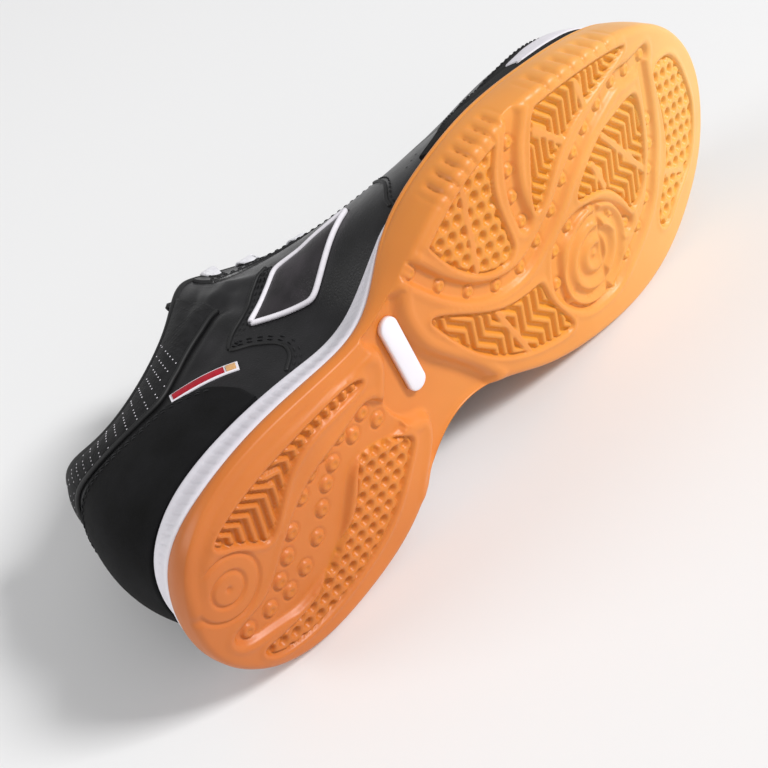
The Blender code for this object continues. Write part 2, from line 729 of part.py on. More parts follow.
def build_midsole(collection, material):
    """White foam wedge in the cup, showing along heel and waist."""
    places = spoke_places()
    shell = Shell()
    rows = midsole_rows(places)
    numbers = [shell.add(row) for row in rows]
    for lower, upper in zip(numbers[:-1], numbers[1:]):
        shell.bridge(lower, upper)
    bottom = station_lines(rows[0][:, :2])
    top = station_lines(rows[-1][:, :2])
    shell.fill(numbers[0], lambda plan: cup_floor(plan[:, 0]) + GAP, bottom, grid=False)
    shell.fill(numbers[-1], lambda plan: foot_bed(plan[:, 0]), top, grid=False)
    return make_object("midsole", shell, material, collection)


def upper_point(places, rises):
    """Outer face of the upper: RISES goes from 0 at the hem to 1 at the collar and throat edge."""
    places = np.asarray(places, float)
    rises = np.asarray(rises, float)[:, None]
    rows = round_table(UPPER_RING, places)
    swell = round_table(UPPER_SWELL, places)
    hem, out = hem_ring(places)
    foot = np.column_stack([hem, foot_bed(hem[:, 0]) + HEM_GAP])
    edge = np.stack([rows[:, 2] * LENGTH, rows[:, 3] * BALL_WIDTH, rows[:, 4] * INSTEP_HEIGHT], axis=1)
    side = np.sign(edge[:, 1] - BALL_WIDTH * MIDDLE_LINE)
    first = foot + np.column_stack([out * swell[:, :1], swell[:, 1]])
    last = edge + np.column_stack([swell[:, 2], side * swell[:, 3], -swell[:, 4]])
    return (
        (1.0 - rises) ** 3 * foot
        + 3.0 * (1.0 - rises) ** 2 * rises * first
        + 3.0 * (1.0 - rises) * rises**2 * last
        + rises**3 * edge
    )


def build_upper(collection, material):
    """Hollow leather shell, open at the collar and throat and underneath."""
    places = np.arange(UPPER_STEPS) / UPPER_STEPS
    shell = Shell()
    numbers = []
    for row in range(UPPER_RISE + 1):
        numbers.append(shell.add(upper_point(places, np.full(UPPER_STEPS, row / UPPER_RISE))))
    for lower, upper in zip(numbers[:-1], numbers[1:]):
        shell.bridge(lower, upper)
    return make_object("upper", shell, material, collection, solid=-WALL)


def build_insole(collection, material):
    """Foot bed inside the upper, on the midsole."""
    places = np.arange(RING_STEPS) / RING_STEPS
    hem, normals = hem_ring(places)
    ring = hem - normals * (WALL + INSOLE_CLEARANCE)
    shell = Shell()
    low = foot_bed(ring[:, 0]) + GAP
    numbers = [shell.add(level_ring(ring, low)), shell.add(level_ring(ring, low + INSOLE_THICKNESS))]
    shell.bridge(*numbers)
    lines = station_lines(ring)
    shell.fill(numbers[0], lambda plan: foot_bed(plan[:, 0]) + GAP, lines, grid=False)
    shell.fill(numbers[1], lambda plan: foot_bed(plan[:, 0]) + GAP + INSOLE_THICKNESS, lines, grid=False)
    return make_object("insole", shell, material, collection)


def upper_normals(places, rises):
    """Outward unit normals of the upper's outer face."""
    step = NORMAL_STEP
    around = upper_point(places + step, rises) - upper_point(places - step, rises)
    climb = upper_point(places, rises + step) - upper_point(places, rises - step)
    normals = np.cross(around, climb)
    return normals / np.linalg.norm(normals, axis=1)[:, None]


def on_upper(places, rises, lift):
    """Points LIFT above the upper's outer face."""
    places = np.asarray(places, float)
    rises = np.asarray(rises, float)
    return upper_point(places, rises) + lift * upper_normals(places, rises)


def build_overlay(name, spokes, foot, top, rows, collection, material):
    """A patch lying on the upper between the curves FOOT and TOP, each a rise for every spoke."""
    places = np.asarray(spokes) / len(UPPER_RING)
    shell = Shell()
    numbers = []
    for row in range(rows + 1):
        rises = foot + (top - foot) * row / rows
        numbers.append(shell.add(on_upper(places, rises, OVERLAY_GAP)))
    for lower, upper in zip(numbers[:-1], numbers[1:]):
        shell.bridge(lower, upper, closed=False)
    return make_object(name, shell, material, collection, solid=OVERLAY)


def shared_spokes(start, end):
    """Spokes from START to END on the upper's own facets, with both ends."""
    step = len(UPPER_RING) / UPPER_STEPS
    inner = np.arange(math.ceil(start / step + 0.2), math.floor(end / step - 0.2) + 1) * step
    return np.concatenate([[start], inner, [end]])


def curve_rises(table, spokes):
    """Read a table of spoke and rise at each of SPOKES."""
    table = np.array(table)
    return np.interp(spokes, table[:, 0], table[:, 1])


def build_overlays(collection, suede, leather):
    """Heel counter, toe cap and the two eyestays."""
    patches = [("heel_counter", COUNTER_TOP, COUNTER_ROWS), ("toe_cap", TOE_CAP_TOP, TOE_CAP_ROWS)]
    for name, table, rows in patches:
        spokes = shared_spokes(table[0][0], table[-1][0])
        foot = np.full(len(spokes), OVERLAY_FOOT)
        if name == "toe_cap":
            foot = foot + TOE_CAP_LIFT
        build_overlay(name, spokes, foot, curve_rises(table, spokes), rows, collection, suede)
    spokes = shared_spokes(EYESTAY_FOOT[0][0], EYESTAY_FOOT[-1][0])
    foot = curve_rises(EYESTAY_FOOT, spokes)
    top = np.full(len(spokes), EYESTAY_TOP)
    build_overlay("eyestay_lateral", spokes, foot, top, EYESTAY_ROWS, collection, leather)
    mirrored = len(UPPER_RING) - spokes[::-1]
    build_overlay("eyestay_medial", mirrored, foot[::-1], top, EYESTAY_ROWS, collection, leather)


def build_side_panel(collection, material):
    """Plain four-sided panel on the outer quarter."""
    corners = np.array(PANEL_CORNERS)
    shell = Shell()
    numbers = []
    for across in np.linspace(0.0, 1.0, PANEL_ROWS):
        start = corners[0] + (corners[3] - corners[0]) * across
        end = corners[1] + (corners[2] - corners[1]) * across
        line = start + (end - start) * np.linspace(0.0, 1.0, PANEL_COLUMNS)[:, None]
        numbers.append(shell.add(on_upper(line[:, 0] / len(UPPER_RING), line[:, 1], OVERLAY_GAP)))
    for lower, upper in zip(numbers[:-1], numbers[1:]):
        shell.bridge(lower, upper, closed=False)
    return make_object("side_panel", shell, material, collection, solid=OVERLAY)


def build_tag(collection, material):
    """Small woven label on the outer quarter, above the counter."""
    ends = np.array(TAG_ENDS)
    line = ends[0] + (ends[1] - ends[0]) * np.linspace(0.0, 1.0, TAG_COLUMNS)[:, None]
    places = line[:, 0] / len(UPPER_RING)
    normals = upper_normals(places, line[:, 1])
    spine = upper_point(places, line[:, 1])
    middle = spine.mean(axis=0)
    spine = middle + (spine - middle) * TAG_LENGTH / np.linalg.norm(spine[-1] - spine[0])
    along = np.gradient(spine, axis=0)
    across = np.cross(normals, along)
    across /= np.linalg.norm(across, axis=1)[:, None]
    spine = spine + normals * OVERLAY_GAP
    shell = Shell()
    low = shell.add(spine - across * TAG_WIDTH / 2.0)
    high = shell.add(spine + across * TAG_WIDTH / 2.0)
    shell.bridge(low, high, closed=False)
    return make_object("tag", shell, material, collection, solid=TAG_THICKNESS)


def build_tongue(collection, material):
    """Padded tongue from under the vamp to above the collar."""
    rows = np.array(TONGUE_ROWS)
    knots = np.arange(len(rows))
    fine = np.linspace(0, len(rows) - 1, 2 * len(rows) - 1)
    table = np.column_stack([np.interp(fine, knots, rows[:, i]) for i in range(rows.shape[1])])
    table[1:-1] = (table[:-2] + 2.0 * table[1:-1] + table[2:]) / 4.0
    spine = np.column_stack([table[:, 0] * LENGTH, table[:, 1] * TONGUE_HEIGHT])
    along = np.gradient(spine, axis=0)
    along /= np.linalg.norm(along, axis=1)[:, None]
    up = np.column_stack([along[:, 1], -along[:, 0]])
    shell = Shell()
    numbers = []
    for share in np.linspace(-1.0, 1.0, TONGUE_COLUMNS):
        drop = table[:, 3] * share**2
        line = spine - up * drop[:, None]
        across = TONGUE_MIDDLE * BALL_WIDTH + share * table[:, 2] * BALL_WIDTH
        numbers.append(shell.add(np.column_stack([line[:, 0], across, line[:, 1]])))
    for lower, upper in zip(numbers[:-1], numbers[1:]):
        shell.bridge(lower, upper, closed=False)
    return make_object("tongue", shell, material, collection, solid=-TONGUE_THICKNESS)


def build_shank_insert(collection, material):
    """Plain capsule in the waist recess."""
    ends = outline(INSERT_ENDS)
    along = ends[1] - ends[0]
    turn = math.atan2(along[1], along[0])
    loop = []
    for end, start in ((ends[1], turn - math.pi / 2.0), (ends[0], turn + math.pi / 2.0)):
        for step in range(CAPSULE_STEPS + 1):
            angle = start + math.pi * step / CAPSULE_STEPS
            loop.append(end + INSERT_WIDTH / 2.0 * np.array([math.cos(angle), math.sin(angle)]))
    loop = np.array(loop)
    shell = Shell()
    roof = ground(loop[:, 0]) + WAIST_DEPTH - GAP
    low = shell.add(level_ring(loop, roof - INSERT_THICKNESS))
    high = shell.add(level_ring(loop, roof))
    shell.bridge(low, high)
    shell.faces.append(tuple(low))
    shell.faces.append(tuple(high))
    return make_object("shank_insert", shell, material, collection)


def tape(start, end, up):
    """A flat lace from START to END as a closed strip, arched over the throat."""
    along = end - start
    across = np.cross(up, along)
    across *= LACE_WIDTH / 2.0 / np.linalg.norm(across)
    shell = Shell()
    rings = []
    for share in np.linspace(-LACE_OVERHANG, 1.0 + LACE_OVERHANG, LACE_STEPS):
        middle = start + along * share + up * LACE_RISE * 4.0 * share * (1.0 - share)
        thick = up * LACE_THICKNESS / 2.0
        rings.append(shell.add([
            middle - across - thick, middle + across - thick,
            middle + across + thick, middle - across + thick,
        ]))
    for lower, upper in zip(rings[:-1], rings[1:]):
        shell.bridge(lower, upper)
    shell.faces.append(tuple(rings[0]))
    shell.faces.append(tuple(rings[-1]))
    return shell


def eyelets():
    """Middles of the lace over the eyelets, outer side first."""
    places = np.array(EYELET_SPOKES) / len(UPPER_RING)
    rises = np.full(len(places), EYELET_RISE)
    lift = OVERLAY_GAP + OVERLAY + LACE_CLEARANCE + LACE_THICKNESS
    return on_upper(places, rises, lift), on_upper(1.0 - places, rises, lift)


def build_laces(collection, cutters, material):
    """Crossed laces from the lowest bar to the top eyelets, joined where they meet."""
    outer, inner = eyelets()
    up = np.array(LACE_UP)
    strips = [tape(outer[0], inner[0], up)]
    for i in range(len(outer) - 1):
        strips.append(tape(outer[i], inner[i + 1], up))
        strips.append(tape(inner[i], outer[i + 1], up))
    laces = make_object("laces", strips[0], material, collection)
    for number, strip in enumerate(strips[1:]):
        other = make_object(f"lace_crossing_{number}", strip, material, cutters)
        other.hide_render = True
        other.display_type = "WIRE"
        join = laces.modifiers.new(other.name, "BOOLEAN")
        join.operation = "UNION"
        join.object = other
    return laces


def clear_scene():
    """Remove what the start file holds."""
    for thing in list(bpy.data.objects):
        bpy.data.objects.remove(thing, do_unlink=True)


def lay_down(collection, cutters):
    """Lay every object on its inner side, its box centred over the origin and on the floor."""
    turn = lying_matrix()
    things = list(collection.objects) + list(cutters.objects)
    for thing in things:
        thing.data.transform(turn)
    bpy.context.view_layer.update()
    depsgraph = bpy.context.evaluated_depsgraph_get()
    corners = []
    for thing in collection.objects:
        shape = thing.evaluated_get(depsgraph).to_mesh()
        corners.extend(vertex.co.copy() for vertex in shape.vertices)
    low = [min(corner[i] for corner in corners) for i in range(3)]
    high = [max(corner[i] for corner in corners) for i in range(3)]
    shift = Matrix.Translation((-(low[0] + high[0]) / 2.0, -(low[1] + high[1]) / 2.0, -low[2]))
    for thing in things:
        thing.data.transform(shift)


def main():
    clear_scene()
    collection = bpy.data.collections.new("indoor_soccer_shoe")
    cutters = bpy.data.collections.new("joining_shapes")
    bpy.context.scene.collection.children.link(collection)
    bpy.context.scene.collection.children.link(cutters)
    gum = make_material("gum_rubber", (0.82, 0.36, 0.10), 0.35)
    foam = make_material("white_foam", (0.85, 0.86, 0.87), 0.55)
    leather = make_material("black_leather", (0.02, 0.02, 0.022), 0.45)
    lining = make_material("lining", (0.12, 0.12, 0.12), 0.9)
    suede = make_material("black_suede", (0.012, 0.012, 0.013), 0.95)
    red = make_material("red_tag", (0.55, 0.03, 0.05), 0.6)
    lace = make_material("white_lace", (0.8, 0.8, 0.82), 0.85)
    build_outsole(collection, gum)
    build_midsole(collection, foam)
    build_upper(collection, leather)
    build_insole(collection, lining)
    build_tongue(collection, lining)
    build_overlays(collection, suede, leather)
    build_side_panel(collection, leather)
    build_tag(collection, red)
    build_shank_insert(collection, foam)
    build_laces(collection, cutters, lace)
    lay_down(collection, cutters)


main()
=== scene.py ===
"""Indoor soccer shoe, right foot, lying on its inner side: its finish, seams, laces and tread.

Shapes are worked out upright, in millimetres: X runs from heel to toe, Y to the inner side of the
foot and Z up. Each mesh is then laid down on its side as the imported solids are. Closed tables go
round the shoe from the heel along the outer side to the toe and back along the inner side.
"""

import math

import bmesh
import bpy
import numpy as np
from mathutils import Matrix, Vector
from mathutils.geometry import delaunay_2d_cdt
from mathutils.kdtree import KDTree


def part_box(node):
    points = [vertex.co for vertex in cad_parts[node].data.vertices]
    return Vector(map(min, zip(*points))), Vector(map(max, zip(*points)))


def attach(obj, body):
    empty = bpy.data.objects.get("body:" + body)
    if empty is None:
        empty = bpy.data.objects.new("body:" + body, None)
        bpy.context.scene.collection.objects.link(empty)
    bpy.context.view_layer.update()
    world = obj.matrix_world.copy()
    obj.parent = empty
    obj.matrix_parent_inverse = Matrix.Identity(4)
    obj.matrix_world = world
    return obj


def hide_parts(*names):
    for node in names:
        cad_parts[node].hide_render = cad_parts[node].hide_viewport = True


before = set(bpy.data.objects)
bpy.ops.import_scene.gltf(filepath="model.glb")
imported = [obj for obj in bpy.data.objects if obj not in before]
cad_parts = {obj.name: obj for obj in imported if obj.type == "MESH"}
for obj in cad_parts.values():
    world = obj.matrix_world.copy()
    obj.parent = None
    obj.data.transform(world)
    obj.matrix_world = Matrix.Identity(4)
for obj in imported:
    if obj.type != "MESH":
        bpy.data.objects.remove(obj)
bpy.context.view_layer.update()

# Driving sizes, in millimetres, as in the solids
LENGTH = 280.0
BALL_WIDTH = 111.0
INSTEP_HEIGHT = 103.0
TONGUE_HEIGHT = 136.0
TOE_SPRING = 13.0
SPRING_START = 190.0
HEEL_BEVEL = 16.0
HEEL_LIFT = 2.0
OUTSOLE_FLOOR = 3.6
CUP_WALL = 2.4
TREAD_INSET = 3.0
CORNER_RISE = 2.6
CHANNEL_WIDTH = 6.0
CHANNEL_DEPTH = 2.0
FIELD_DEPTH = 1.9
WAIST_DEPTH = 3.6
HEEL_STACK = 23.5
BALL_STACK = 17.5
WALL = 2.0
GAP = 0.3
HEM_GAP = 0.7
INSOLE_THICKNESS = 4.0
INSOLE_CLEARANCE = 1.5
TONGUE_THICKNESS = 4.0
TONGUE_MIDDLE = 0.018
LACE_WIDTH = 6.0
LACE_THICKNESS = 1.2
INSERT_WIDTH = 7.0
INSERT_THICKNESS = 1.8
LEAN = 3.04
PITCH = -2.41
MM = 0.001
# Rows of a grid of even triangles lie this share of its spacing apart
ROW_SHARE = 0.866
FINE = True

SOLE_RING = [
    # along, across, wall, lean
    (-0.004, 0.027, 11.5, 0.5),
    (0.021, -0.198, 11.0, 0.5),
    (0.086, -0.324, 7.2, 0.5),
    (0.171, -0.351, 7.0, 0.5),
    (0.257, -0.338, 7.0, 0.5),
    (0.339, -0.351, 8.5, 0.6),
    (0.421, -0.446, 16.5, 1.0),
    (0.507, -0.527, 17.5, 1.5),
    (0.600, -0.547, 19.0, 2.0),
    (0.693, -0.527, 19.0, 2.0),
    (0.786, -0.475, 20.5, 2.0),
    (0.877, -0.369, 25.0, 1.8),
    (0.950, -0.198, 30.0, 1.5),
    (0.984, 0.013, 33.0, 1.5),
    (0.958, 0.222, 31.0, 1.5),
    (0.889, 0.350, 26.0, 1.8),
    (0.804, 0.420, 21.0, 2.0),
    (0.711, 0.425, 20.0, 2.0),
    (0.621, 0.380, 20.0, 2.0),
    (0.534, 0.290, 17.0, 1.5),
    (0.450, 0.165, 11.0, 0.6),
    (0.366, 0.160, 9.5, 0.6),
    (0.280, 0.305, 7.5, 0.5),
    (0.179, 0.366, 7.0, 0.5),
    (0.088, 0.342, 9.0, 0.5),
    (0.022, 0.218, 11.0, 0.5),
]

UPPER_RING = [
    # hem along, hem across, edge along, edge across, edge height
    (0.004, 0.032, 0.052, 0.036, 0.870),
    (0.024, -0.155, 0.064, -0.108, 0.815),
    (0.086, -0.268, 0.100, -0.205, 0.690),
    (0.179, -0.295, 0.165, -0.250, 0.675),
    (0.265, -0.276, 0.243, -0.265, 0.770),
    (0.343, -0.285, 0.307, -0.245, 0.918),
    (0.424, -0.428, 0.354, -0.180, 0.985),
    (0.509, -0.503, 0.407, -0.131, 0.942),
    (0.600, -0.518, 0.471, -0.113, 0.845),
    (0.691, -0.498, 0.536, -0.104, 0.767),
    (0.782, -0.448, 0.589, -0.090, 0.709),
    (0.870, -0.346, 0.625, -0.072, 0.680),
    (0.940, -0.183, 0.646, -0.045, 0.660),
    (0.974, 0.015, 0.654, -0.014, 0.655),
    (0.949, 0.208, 0.646, 0.018, 0.660),
    (0.883, 0.327, 0.625, 0.045, 0.680),
    (0.801, 0.392, 0.589, 0.068, 0.709),
    (0.711, 0.396, 0.536, 0.090, 0.767),
    (0.625, 0.352, 0.471, 0.113, 0.845),
    (0.538, 0.265, 0.407, 0.144, 0.942),
    (0.447, 0.262, 0.354, 0.216, 1.000),
    (0.358, 0.288, 0.307, 0.290, 0.930),
    (0.270, 0.314, 0.243, 0.325, 0.785),
    (0.180, 0.330, 0.165, 0.315, 0.710),
    (0.088, 0.305, 0.095, 0.272, 0.740),
    (0.024, 0.205, 0.060, 0.180, 0.845),
]

UPPER_SWELL = [
    # hem out, hem up, edge along, edge out, edge down
    (7.0, 26.0, -7.0, 0.0, 24.0),
    (6.5, 26.0, -5.0, 2.0, 22.0),
    (4.0, 24.0, -2.0, 4.0, 18.0),
    (3.0, 20.0, 0.0, 4.0, 16.0),
    (2.5, 22.0, 0.0, 6.0, 18.0),
    (1.0, 22.0, 0.0, 3.0, 20.0),
    (0.0, 17.0, 0.0, 0.0, 20.0),
    (-0.4, 13.0, 0.0, 0.0, 13.0),
    (-0.5, 12.0, 2.0, 3.0, 9.0),
    (-0.3, 14.0, 8.0, 9.0, 6.0),
    (1.0, 21.0, 20.0, 16.0, 4.0),
    (4.0, 28.0, 38.0, 22.0, 3.0),
    (4.5, 27.0, 48.0, 12.0, 4.0),
    (4.0, 25.0, 50.0, 0.0, 4.0),
    (4.5, 27.0, 48.0, 12.0, 4.0),
    (4.0, 28.0, 38.0, 22.0, 3.0),
    (1.5, 25.0, 20.0, 20.0, 4.0),
    (0.0, 24.0, 8.0, 20.0, 4.0),
    (0.0, 24.0, 4.0, 18.0, 6.0),
    (0.0, 26.0, 4.0, 16.0, 10.0),
    (2.0, 30.0, 2.0, 16.0, 16.0),
    (2.0, 26.0, 0.0, 10.0, 20.0),
    (2.5, 22.0, 0.0, 6.0, 18.0),
    (3.0, 20.0, 0.0, 4.0, 16.0),
    (4.0, 22.0, 0.0, 3.0, 18.0),
    (6.5, 26.0, -5.0, 2.0, 22.0),
]
SPOKES = len(UPPER_RING)

# Recesses of the tread, along and across in shares of LENGTH and BALL_WIDTH
WAIST_RECESS = [
    (0.27, -0.44), (0.30, -0.32), (0.322, -0.25), (0.310, -0.17), (0.300, -0.10), (0.318, 0.0),
    (0.346, 0.05), (0.33, 0.16), (0.30, 0.30), (0.36, 0.42), (0.46, 0.30), (0.448, 0.10),
    (0.408, -0.05), (0.378, -0.17), (0.372, -0.32), (0.390, -0.46), (0.34, -0.60),
]
HEEL_CHANNEL = [
    (0.296, -0.16), (0.246, -0.166), (0.189, -0.14), (0.137, -0.07), (0.090, 0.027),
    (0.058, 0.054), (0.028, 0.066), (0.030, 0.118), (0.062, 0.150), (0.104, 0.184),
    (0.143, 0.176), (0.172, 0.150), (0.214, 0.030), (0.254, -0.042), (0.314, 0.0),
]
OUTER_HEEL_FIELD = [
    (0.061, -0.22), (0.105, -0.262), (0.160, -0.276), (0.225, -0.278), (0.275, -0.268),
    (0.282, -0.24), (0.228, -0.24), (0.186, -0.225), (0.150, -0.17), (0.114, -0.092),
    (0.086, -0.15),
]
INNER_HEEL_FIELD = [
    (0.311, 0.03), (0.304, 0.095), (0.254, 0.212), (0.190, 0.272), (0.118, 0.286),
    (0.058, 0.245), (0.044, 0.19), (0.070, 0.196), (0.125, 0.196), (0.164, 0.144),
    (0.211, 0.075), (0.236, -0.018), (0.268, -0.044),
]
OUTER_WAIST_FIELD = [
    (0.561, -0.532), (0.525, -0.541), (0.500, -0.532), (0.468, -0.495), (0.450, -0.468),
    (0.432, -0.432), (0.436, -0.378), (0.450, -0.306), (0.471, -0.234), (0.496, -0.180),
    (0.525, -0.153), (0.539, -0.171), (0.543, -0.207), (0.539, -0.324), (0.546, -0.441),
]
OUTER_BALL_FIELD = [
    (0.805, -0.41), (0.736, -0.465), (0.672, -0.51), (0.632, -0.50), (0.611, -0.41),
    (0.596, -0.30), (0.590, -0.22), (0.608, -0.22), (0.646, -0.305), (0.690, -0.36),
    (0.750, -0.385),
]
MIDDLE_BALL_FIELD = [
    (0.797, -0.25), (0.750, -0.25), (0.711, -0.225), (0.662, -0.125), (0.710, -0.063),
    (0.745, 0.055), (0.758, 0.10), (0.786, 0.055), (0.808, -0.08), (0.812, -0.20),
]
TOE_FIELD = [
    (0.902, -0.215), (0.866, -0.235), (0.860, -0.17), (0.860, 0.0), (0.838, 0.135),
    (0.808, 0.235), (0.820, 0.30), (0.860, 0.26), (0.912, 0.205), (0.942, 0.10),
    (0.946, 0.0), (0.930, -0.13),
]
INNER_WAIST_FIELD = [
    (0.400, -0.215), (0.436, -0.153), (0.493, -0.045), (0.546, 0.0), (0.568, 0.02),
    (0.576, 0.11), (0.598, 0.24), (0.570, 0.245), (0.500, 0.155), (0.443, 0.01),
    (0.410, -0.14),
]

# Honeycomb fields with the pitch of their pits, and the turn of the honeycomb in degrees
HONEYCOMB_FIELDS = [(INNER_HEEL_FIELD, 5.0), (OUTER_WAIST_FIELD, 5.4), (TOE_FIELD, 5.8)]
HONEYCOMB_TURN = 18.0

# Zigzag fields with the spacing of their ribs and where one rib runs, in millimetres
ZIGZAG_FIELDS = [(OUTER_BALL_FIELD, 3.7, 199.1), (MIDDLE_BALL_FIELD, 3.7, 216.6),
                 (INNER_WAIST_FIELD, 4.2, 119.5)]
ZIGZAG_AHEAD = (0.30, 0.954)
ZIGZAG_FIRST_TURN = 9.8
ZIGZAG_ARM = 9.0
ZIGZAG_SWING = 4.4

# Ridge line of the chevrons on the outer heel, their spacing and the slopes of their arms
CHEVRON_RIDGE = [
    (0.10, -0.205), (0.142, -0.211), (0.161, -0.239), (0.186, -0.252), (0.229, -0.263), (0.29, -0.27),
]
CHEVRON_SPACING = 3.7
CHEVRON_SLOPES = (1.0, -0.18)

# Rows of convex scallops on the outer wall: first spoke, last spoke, how many
SCALLOPS = [(6.45, 7.95, 8), (8.40, 10.15, 7)]
SCALLOP_DEPTH = 1.9
SCALLOP_REACH = 0.62

# Centre lines of the channels that hold the small domes
LONG_CHANNEL = [
    (0.399, -0.384), (0.429, -0.272), (0.464, -0.176), (0.505, -0.111), (0.548, -0.090),
    (0.584, -0.118), (0.620, -0.161), (0.650, -0.216), (0.679, -0.261), (0.707, -0.297),
    (0.739, -0.324), (0.775, -0.342), (0.807, -0.326), (0.846, -0.315),
]
CROSS_CHANNEL = [(0.611, -0.568), (0.584, -0.466), (0.573, -0.391), (0.568, -0.308), (0.571, -0.215)]
LOOP_CHANNEL = [
    (0.838, -0.29), (0.836, -0.20), (0.832, -0.099), (0.825, -0.018), (0.811, 0.054),
    (0.793, 0.135), (0.764, 0.189), (0.729, 0.234), (0.689, 0.270), (0.639, 0.243),
    (0.611, 0.171), (0.596, 0.081), (0.607, -0.027), (0.639, -0.063), (0.679, -0.045),
    (0.714, 0.027), (0.739, 0.126),
]
HEEL_DOMES = [
    (0.275, -0.153), (0.289, -0.090), (0.239, -0.153), (0.254, -0.117), (0.214, -0.153),
    (0.218, -0.099), (0.189, -0.135), (0.200, -0.063), (0.168, -0.099), (0.182, -0.009),
    (0.139, -0.036), (0.161, 0.054), (0.121, 0.018), (0.132, 0.099), (0.100, 0.063),
    (0.104, 0.117), (0.075, 0.108), (0.043, 0.099),
]
HEEL_DOME_RADIUS = 2.5
DOME_RADIUS = 2.1
DOME_HEIGHT = 1.25
DOME_DIMPLE = 0.7

# Smooth bars across the fields, from end to end
FLEX_BARS = [
    ((0.502, -0.545), (0.482, -0.22)), ((0.622, -0.442), (0.673, -0.299)),
    ((0.706, -0.455), (0.710, -0.368)), ((0.730, -0.228), (0.798, 0.032)),
    ((0.701, -0.173), (0.713, -0.070)), ((0.837, 0.113), (0.885, 0.198)),
    ((0.490, -0.034), (0.518, 0.185)),
]
BALL_RING = (0.668, 0.108)
RING_SPLIT = [(0.690, -0.05), (0.672, 0.32)]
HEEL_RING = (0.0486, -0.077)
INSERT_ENDS = [(0.349, -0.295), (0.356, -0.080)]

TONGUE_ROWS = [
    # along, height, half width, crown
    (0.716, 0.416, 0.120, 3.0),
    (0.660, 0.440, 0.165, 5.0),
    (0.595, 0.486, 0.190, 7.0),
    (0.525, 0.520, 0.185, 8.0),
    (0.455, 0.580, 0.175, 8.0),
    (0.405, 0.632, 0.168, 8.0),
    (0.366, 0.692, 0.163, 7.0),
    (0.348, 0.760, 0.158, 6.0),
    (0.340, 0.805, 0.145, 5.0),
    (0.342, 0.840, 0.115, 5.0),
]

# Seams and patches on the upper. Places count spokes of UPPER_RING, rises go from 0 at the hem to 1.
COUNTER_TOP = [
    (-3.4, 0.10), (-3.2, 0.30), (-2.8, 0.48), (-1.7, 0.60), (0.0, 0.66), (0.8, 0.68),
    (1.7, 0.64), (2.3, 0.57), (2.8, 0.50), (3.2, 0.33), (3.4, 0.12),
]
BAND_FOOT = [
    (-4.7, 0.66), (-4.2, 0.67), (-3.7, 0.68), (-3.35, 0.66), (-2.9, 0.62), (-2.5, 0.66),
    (-2.1, 0.70), (-1.5, 0.73), (-0.9, 0.78), (0.0, 0.82), (0.9, 0.78), (1.5, 0.73),
    (2.1, 0.70), (2.5, 0.66), (2.9, 0.62), (3.35, 0.66), (3.7, 0.68), (4.2, 0.67), (4.7, 0.66),
]
BAND_DOTS_END = 3.55
TOE_CAP_TOP = [
    (7.2, 0.10), (7.7, 0.16), (8.5, 0.30), (9.5, 0.38), (11.0, 0.36), (13.0, 0.36),
    (15.0, 0.36), (16.5, 0.30), (18.0, 0.20), (18.8, 0.10),
]
TOE_STRIPE = [
    # spoke, foot, top
    (9.55, 0.155, 0.165), (9.75, 0.145, 0.27), (10.3, 0.125, 0.28), (11.2, 0.12, 0.22),
    (12.5, 0.13, 0.18), (13.2, 0.14, 0.15),
]
EYESTAY_FOOT = [(5.6, 0.82), (7.5, 0.76), (9.5, 0.76), (11.4, 0.80)]
SADDLE_SEAM = [
    (5.90, 0.58), (5.22, 0.54), (4.68, 0.49), (4.20, 0.46), (3.93, 0.39), (4.18, 0.29),
    (4.35, 0.18), (4.25, 0.09), (3.98, 0.02),
]
VAMP_SEAM = [(7.6, 0.42), (7.10, 0.27), (6.55, 0.12), (6.38, 0.04)]
PANEL_CORNERS = [(4.48, 0.41), (5.15, 0.20), (6.75, 0.35), (5.70, 0.49)]
TAG_ENDS = [(2.96, 0.525), (3.71, 0.265)]
EYELET_SPOKES = [11.0, 10.0, 9.0, 8.0, 7.0, 6.1]
EYELET_RISE = 0.89
THROAT_DOWN = np.array([0.94, 0.0, -0.35])
EDGE_TOP = 0.972
OVERLAY_LIFT = 1.1
STITCH_LIFT = 1.15
BAND_LIFT = 0.7
BAND_PUFF = 1.3

# Creases: from, to (spoke, rise), half width in millimetres and depth
CREASES = [
    ((9.6, 0.28), (9.2, 0.62), 3.2, 0.9),
    ((8.9, 0.20), (8.5, 0.55), 3.0, 0.7),
    ((16.4, 0.28), (16.8, 0.62), 3.2, 0.8),
    ((4.9, 0.52), (4.6, 0.86), 5.0, 1.5),
    ((5.6, 0.50), (5.5, 0.80), 5.0, -0.9),
    ((3.6, 0.46), (4.4, 0.50), 4.0, 0.7),
    ((21.2, 0.50), (21.5, 0.85), 5.0, 1.2),
    ((3.4, 0.67), (5.2, 0.64), 3.0, 1.0),
    ((4.0, 0.74), (5.5, 0.72), 3.5, -1.0),
    ((4.2, 0.80), (5.3, 0.86), 2.6, 0.8),
    ((3.3, 0.56), (4.6, 0.60), 3.4, -0.8),
    ((5.9, 0.40), (6.6, 0.60), 4.0, 0.5),
]

# The photograph's camera in the upright shoe's frame
EYE = (-54.7, -255.8, -229.2)
VIEW_RIGHT = (0.63094, 0.31182, -0.71041)
VIEW_DOWN = (-0.66717, 0.68541, -0.29169)
VIEW_AHEAD = (0.39597, 0.65801, 0.64049)
FOCAL_PIXELS = 1216.4
PICTURE = 768
SENSOR = 36.0


def smooth_step(value):
    value = np.clip(value, 0.0, 1.0)
    return value * value * (3.0 - 2.0 * value)


